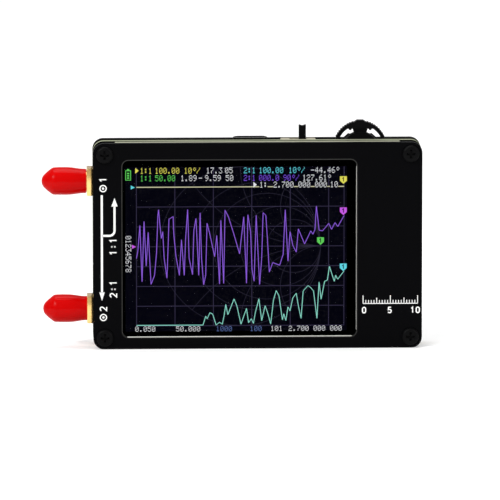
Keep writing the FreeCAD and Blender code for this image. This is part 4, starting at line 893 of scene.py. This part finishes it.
def cross_screw(bm, x, z, face, side, tip, radius, recess):
    """A pan head with a cross recess, its washer face at depth face; side is -1 at the front."""
    height, rim, steps = 0.9, radius * 0.72, 32
    profile = [(0.0, rim), (0.1, radius * 0.87), (0.3, radius * 0.97), (0.5, radius), (height, radius),
               (height, 0.9), (height + 0.2, 0.78)]
    along = height + 0.3
    while along < tip:
        profile += [(along, 0.7), (along + 0.12, 0.78), (along + 0.22, 0.78)]
        along += 0.4
    profile += [(tip, 0.66), (tip, 0.0)]
    crown = face + side * height
    turned(bm, profile, (x, crown, z), (0, -side, 0), steps)
    # The crown is a fan round a plus-shaped well with sloping walls
    half, foot, depth = recess * 0.26, 0.62, 0.6
    plus = [(recess, -half), (recess, half), (half, half), (half, recess), (-half, recess), (-half, half),
            (-recess, half), (-recess, -half), (-half, -half), (-half, -recess), (half, -recess),
            (half, -half)]
    upper = [bm.verts.new((x + a, crown, z + b)) for a, b in plus]
    lower = [bm.verts.new((x + a * foot, crown - side * depth, z + b * foot)) for a, b in plus]
    ring = [bm.verts.new((x + rim * math.cos(math.tau * i / steps), crown,
                          z + rim * math.sin(math.tau * i / steps))) for i in range(steps)]
    for i in range(len(plus)):
        j = (i + 1) % len(plus)
        bm.faces.new((upper[i], upper[j], lower[j], lower[i]))
    bm.faces.new(lower)
    outside = [bm.edges.new((ring[i], ring[(i + 1) % steps])) for i in range(steps)]
    inside = [bm.edges.get((upper[i], upper[(i + 1) % len(plus)])) for i in range(len(plus))]
    bmesh.ops.triangle_fill(bm, use_beauty=True, use_dissolve=False, edges=outside + inside,
                            normal=(0, side, 0))


class ANALYZER_OT_screws(bpy.types.Operator):
    """Turn the eight machine screws with their cross recesses"""
    bl_idname = "analyzer.screws"
    bl_label = "Screws"

    def execute(self, context):
        hardware = settings("analyzer_hardware")
        radius, recess = hardware.screw_radius / MM, hardware.recess / MM
        for node, panel, side in (("front_screws", "front_panel", -1), ("rear_screws", "back_panel", 1)):
            low, high = corners(node)
            board_low, board_high = corners(panel)
            face = board_low[1] if side < 0 else board_high[1]
            bm = bmesh.new()
            for x in (low[0] + radius, high[0] - radius):
                for z in (low[2] + radius, high[2] - radius):
                    cross_screw(bm, x, z, face, side, high[1] - low[1], radius, recess)
            bmesh.ops.remove_doubles(bm, verts=bm.verts, dist=0.0005)
            make_piece(f"{node}_cross_recessed", bm, ["black_oxide_steel"],
                       stands_for=(node,))
        return {"FINISHED"}


def patch_boxes(name):
    """Lowest and highest corners, in millimetres, of the separate patches of a node's mesh."""
    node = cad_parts[name]
    home = list(range(len(node.data.vertices)))

    def root(i):
        while home[i] != i:
            home[i] = home[home[i]]
            i = home[i]
        return i

    for polygon in node.data.polygons:
        first = root(polygon.vertices[0])
        for vertex in polygon.vertices[1:]:
            home[root(vertex)] = first
    patches = {}
    for vertex in node.data.vertices:
        patches.setdefault(root(vertex.index), []).append((node.matrix_world @ vertex.co) / MM)
    return [([min(p[k] for p in patch) for k in range(3)], [max(p[k] for p in patch) for k in range(3)])
            for patch in patches.values()]


class ANALYZER_OT_board_parts(bpy.types.Operator):
    """Solder the small chip parts, with their tinned ends, on the free places of the main board"""
    bl_idname = "analyzer.board_parts"
    bl_label = "Board parts"

    def execute(self, context):
        wanted = settings("analyzer_hardware").parts
        low, high = corners("main_board")
        # Kept free round the frame's own parts and round each chip; room behind the board; tries per chip
        face, clear, gap, room, tries = high[1], 0.5, 0.3, 2.6, 12
        taken = []
        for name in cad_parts:
            if name in ("main_board", "back_panel", "front_panel"):
                continue
            for a, b in patch_boxes(name):
                if b[1] > face - 0.05 and a[1] < face + room:
                    taken.append((a[0] - clear, a[2] - clear, b[0] + clear, b[2] + clear))
        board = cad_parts["main_board"]
        solid = BVHTree.FromPolygons([(board.matrix_world @ v.co) / MM for v in board.data.vertices],
                                     [p.vertices for p in board.data.polygons])
        chance = random.Random(7)
        bm = bmesh.new()
        placed = 0
        for _ in range(wanted * tries):
            if placed == wanted:
                break
            long, wide, tall = chance.choice(((1.6, 0.8, 0.45), (1.0, 0.5, 0.35), (1.0, 0.5, 0.5)))
            upright = chance.random() < 0.5
            half_x, half_z = (wide / 2, long / 2) if upright else (long / 2, wide / 2)
            x = round(chance.uniform(low[0] + 3, high[0] - 3) * 2) / 2
            z = round(chance.uniform(low[2] + 2, high[2] - 2) * 2) / 2
            spot = (x - half_x - gap, z - half_z - gap, x + half_x + gap, z + half_z + gap)
            if any(spot[0] < t[2] and spot[2] > t[0] and spot[1] < t[3] and spot[3] > t[1] for t in taken):
                continue
            # Only where the board is whole under all four corners
            if any(solid.ray_cast((u, face + 0.5, w), (0, -1, 0), 0.6)[0] is None
                   for u in spot[::2] for w in spot[1::2]):
                continue
            taken.append(spot)
            placed += 1
            end, cap = long / 2, long * 0.2
            # The body first, then its two ends: from, to, half width, height, material and rounding
            for start, stop, half, top, index, bevel in (
                    (cap - end, end - cap, wide / 2, tall, chance.choice((0, 0, 1)), 0.03),
                    (-end - 0.12, cap - end, wide / 2 + 0.05, tall + 0.02, 2, 0.05),
                    (end - cap, end + 0.12, wide / 2 + 0.05, tall + 0.02, 2, 0.05)):
                if upright:
                    corner, across = (x - half, z + start), (x + half, z + stop)
                else:
                    corner, across = (x + start, z - half), (x + stop, z + half)
                slab(bm, (corner[0], face, corner[1]), (across[0], face + top, across[1]), index, bevel)
        # Fired ceramic bodies, black film resistors and tinned ends with their fillets
        make_piece("board_chip_parts", bm, ["fired_ceramic", "moulded_epoxy_package", "matte_tin_solder"])
        return {"FINISHED"}


def seen_by(tree, *kinds):
    """1 for a ray of one of the given kinds, otherwise 0."""
    rays = add(tree, "ShaderNodeLightPath")
    seen = rays.outputs[kinds[0]]
    for kind in kinds[1:]:
        seen = add(tree, "ShaderNodeMath", {0: seen, 1: rays.outputs[kind]}, operation="MAXIMUM").outputs[0]
    return seen


class ANALYZER_OT_stage(bpy.types.Operator):
    """Lay the pale paper sweep, hang the soft lamps and set the camera"""
    bl_idname = "analyzer.stage"
    bl_label = "Photo stage"

    def execute(self, context):
        context.scene.view_settings.view_transform = "Standard"
        self.paper()
        self.light(context.scene)
        self.camera(context.scene)
        return {"FINISHED"}

    def paper(self):
        # Paper sweep: a floor that curves up far behind the object, clear of any camera round it
        reach, curve, height = 6000, 600, 2600
        run = [(-reach, 0.0), (-1000, 0.0), (1000, 0.0), (reach, 0.0)]
        run += [(reach + y, curve + z) for y, z in arc(0, 0, curve, -80, 0, 8)] + [(reach + curve, height)]
        bm = bmesh.new()
        rows = [[bm.verts.new((x * MM, y * MM, z * MM)) for x in (-reach, reach)] for y, z in run]
        for a, b in zip(rows, rows[1:]):
            bm.faces.new((a[0], a[1], b[1], b[0]))
        mesh = bpy.data.meshes.new("paper_sweep")
        bm.to_mesh(mesh)
        bm.free()
        mesh.shade_smooth()
        # Matte white paper: even and pale, white to the camera and in reflections
        material, tree = blank("matte_white_paper")
        floor = settings("analyzer_stage").floor
        # A little light of its own brings the paper up to white where it is looked at
        seen = seen_by(tree, "Is Camera Ray", "Is Glossy Ray", "Is Transmission Ray")
        lift = add(tree, "ShaderNodeMix", {0: seen, 6: (0, 0, 0, 1), 7: (0.16, 0.16, 0.16, 1)},
                   data_type="RGBA")
        tone = add(tree, "ShaderNodeMix", {0: grain(tree, 40.0, 3.0), 6: shade(floor, 0.985),
                                           7: shade(floor)}, data_type="RGBA")
        close(tree, {"Base Color": tone.outputs[2], "Roughness": 0.9, "Specular IOR Level": 0.1,
                     "Emission Color": lift.outputs[2], "Emission Strength": 1.0})
        mesh.materials.append(material)
        put("paper_sweep", mesh)

    def light(self, scene):
        scene.world = scene.world or bpy.data.worlds.new("studio")
        scene.world.use_nodes = True
        tree = scene.world.node_tree
        tree.nodes.clear()
        # White where it is looked at, grey as a light
        colour = add(tree, "ShaderNodeMix", {0: seen_by(tree, "Is Camera Ray", "Is Transmission Ray"),
                                             6: (0.5, 0.5, 0.5, 1), 7: (1, 1, 1, 1)}, data_type="RGBA")
        sky = add(tree, "ShaderNodeBackground", {"Color": colour.outputs[2], "Strength": 1.0})
        add(tree, "ShaderNodeOutputWorld", {"Surface": sky.outputs[0]})
        # Soft round lamps: place and size in millimetres, power in watts, all aimed at the object's middle
        middle = Vector((0, 0, 27)) * MM
        for name, place, size, power in (("spark_lamp", (-600, -420, 560), 90, 2.4),
                                         ("key_lamp", (-700, -900, 1100), 900, 11.0),
                                         ("fill_lamp", (1000, -700, 700), 1100, 6.0),
                                         ("top_lamp", (0, 300, 1300), 1000, 9.0)):
            data = bpy.data.lights.new(name, "AREA")
            data.shape, data.size, data.energy = "DISK", size * MM, power
            lamp = put(name, data)
            lamp.location = [v * MM for v in place]
            lamp.rotation_euler = (middle - lamp.location).to_track_quat("-Z", "Y").to_euler()

    def camera(self, scene):
        stage = settings("analyzer_stage")
        low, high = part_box("front_panel")
        aim = Vector(((low[0] + high[0]) / 2 - stage.aim_left, low[1],
                      (low[2] + high[2]) / 2 - stage.aim_below))
        flat = math.cos(stage.elevation)
        away = Vector((math.sin(stage.azimuth) * flat, -math.cos(stage.azimuth) * flat,
                       math.sin(stage.elevation)))
        data = bpy.data.cameras.new("photo_camera")
        data.sensor_width = 36.0
        data.lens = data.sensor_width * stage.distance / stage.view_width
        data.clip_start, data.clip_end = 0.05, 20.0
        scene.camera = put("photo_camera", data)
        scene.camera.location = aim + away * stage.distance
        scene.camera.rotation_euler = (-away).to_track_quat("-Z", "Y").to_euler()


class ANALYZER_PT_panel(bpy.types.Panel):
    """The pieces of the analyzer, in the order in which they are built"""
    bl_label = "Antenna Analyzer"
    bl_idname = "ANALYZER_PT_panel"
    bl_space_type = "VIEW_3D"
    bl_region_type = "UI"
    bl_category = "Analyzer"

    def draw(self, context):
        for operator in OPERATORS:
            self.layout.operator(operator.bl_idname)
        for attribute, group in GROUPS.items():
            box = self.layout.box()
            box.label(text=attribute.replace("analyzer_", "").capitalize())
            for key in group.__annotations__:
                box.prop(getattr(context.scene, attribute), key)


GROUPS = {
    "analyzer_stage": StageSettings,
    "analyzer_boards": BoardSettings,
    "analyzer_display": DisplaySettings,
    "analyzer_ports": PortSettings,
    "analyzer_hardware": HardwareSettings,
}
OPERATORS = (ANALYZER_OT_stage, ANALYZER_OT_finishes, ANALYZER_OT_legend, ANALYZER_OT_edges,
             ANALYZER_OT_jog_cover, ANALYZER_OT_display, ANALYZER_OT_ports, ANALYZER_OT_screws,
             ANALYZER_OT_board_parts)
CLASSES = tuple(GROUPS.values()) + OPERATORS + (ANALYZER_PT_panel,)


def register():
    for cls in CLASSES:
        bpy.utils.register_class(cls)
    for attribute, group in GROUPS.items():
        setattr(bpy.types.Scene, attribute, PointerProperty(type=group))


def unregister():
    for attribute in GROUPS:
        delattr(bpy.types.Scene, attribute)
    for cls in reversed(CLASSES):
        bpy.utils.unregister_class(cls)


def main():
    """Registers the add-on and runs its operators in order."""
    register()
    for operator in OPERATORS:
        family, action = operator.bl_idname.split(".")
        getattr(getattr(bpy.ops, family), action)()


if __name__ == "__main__":
    main()
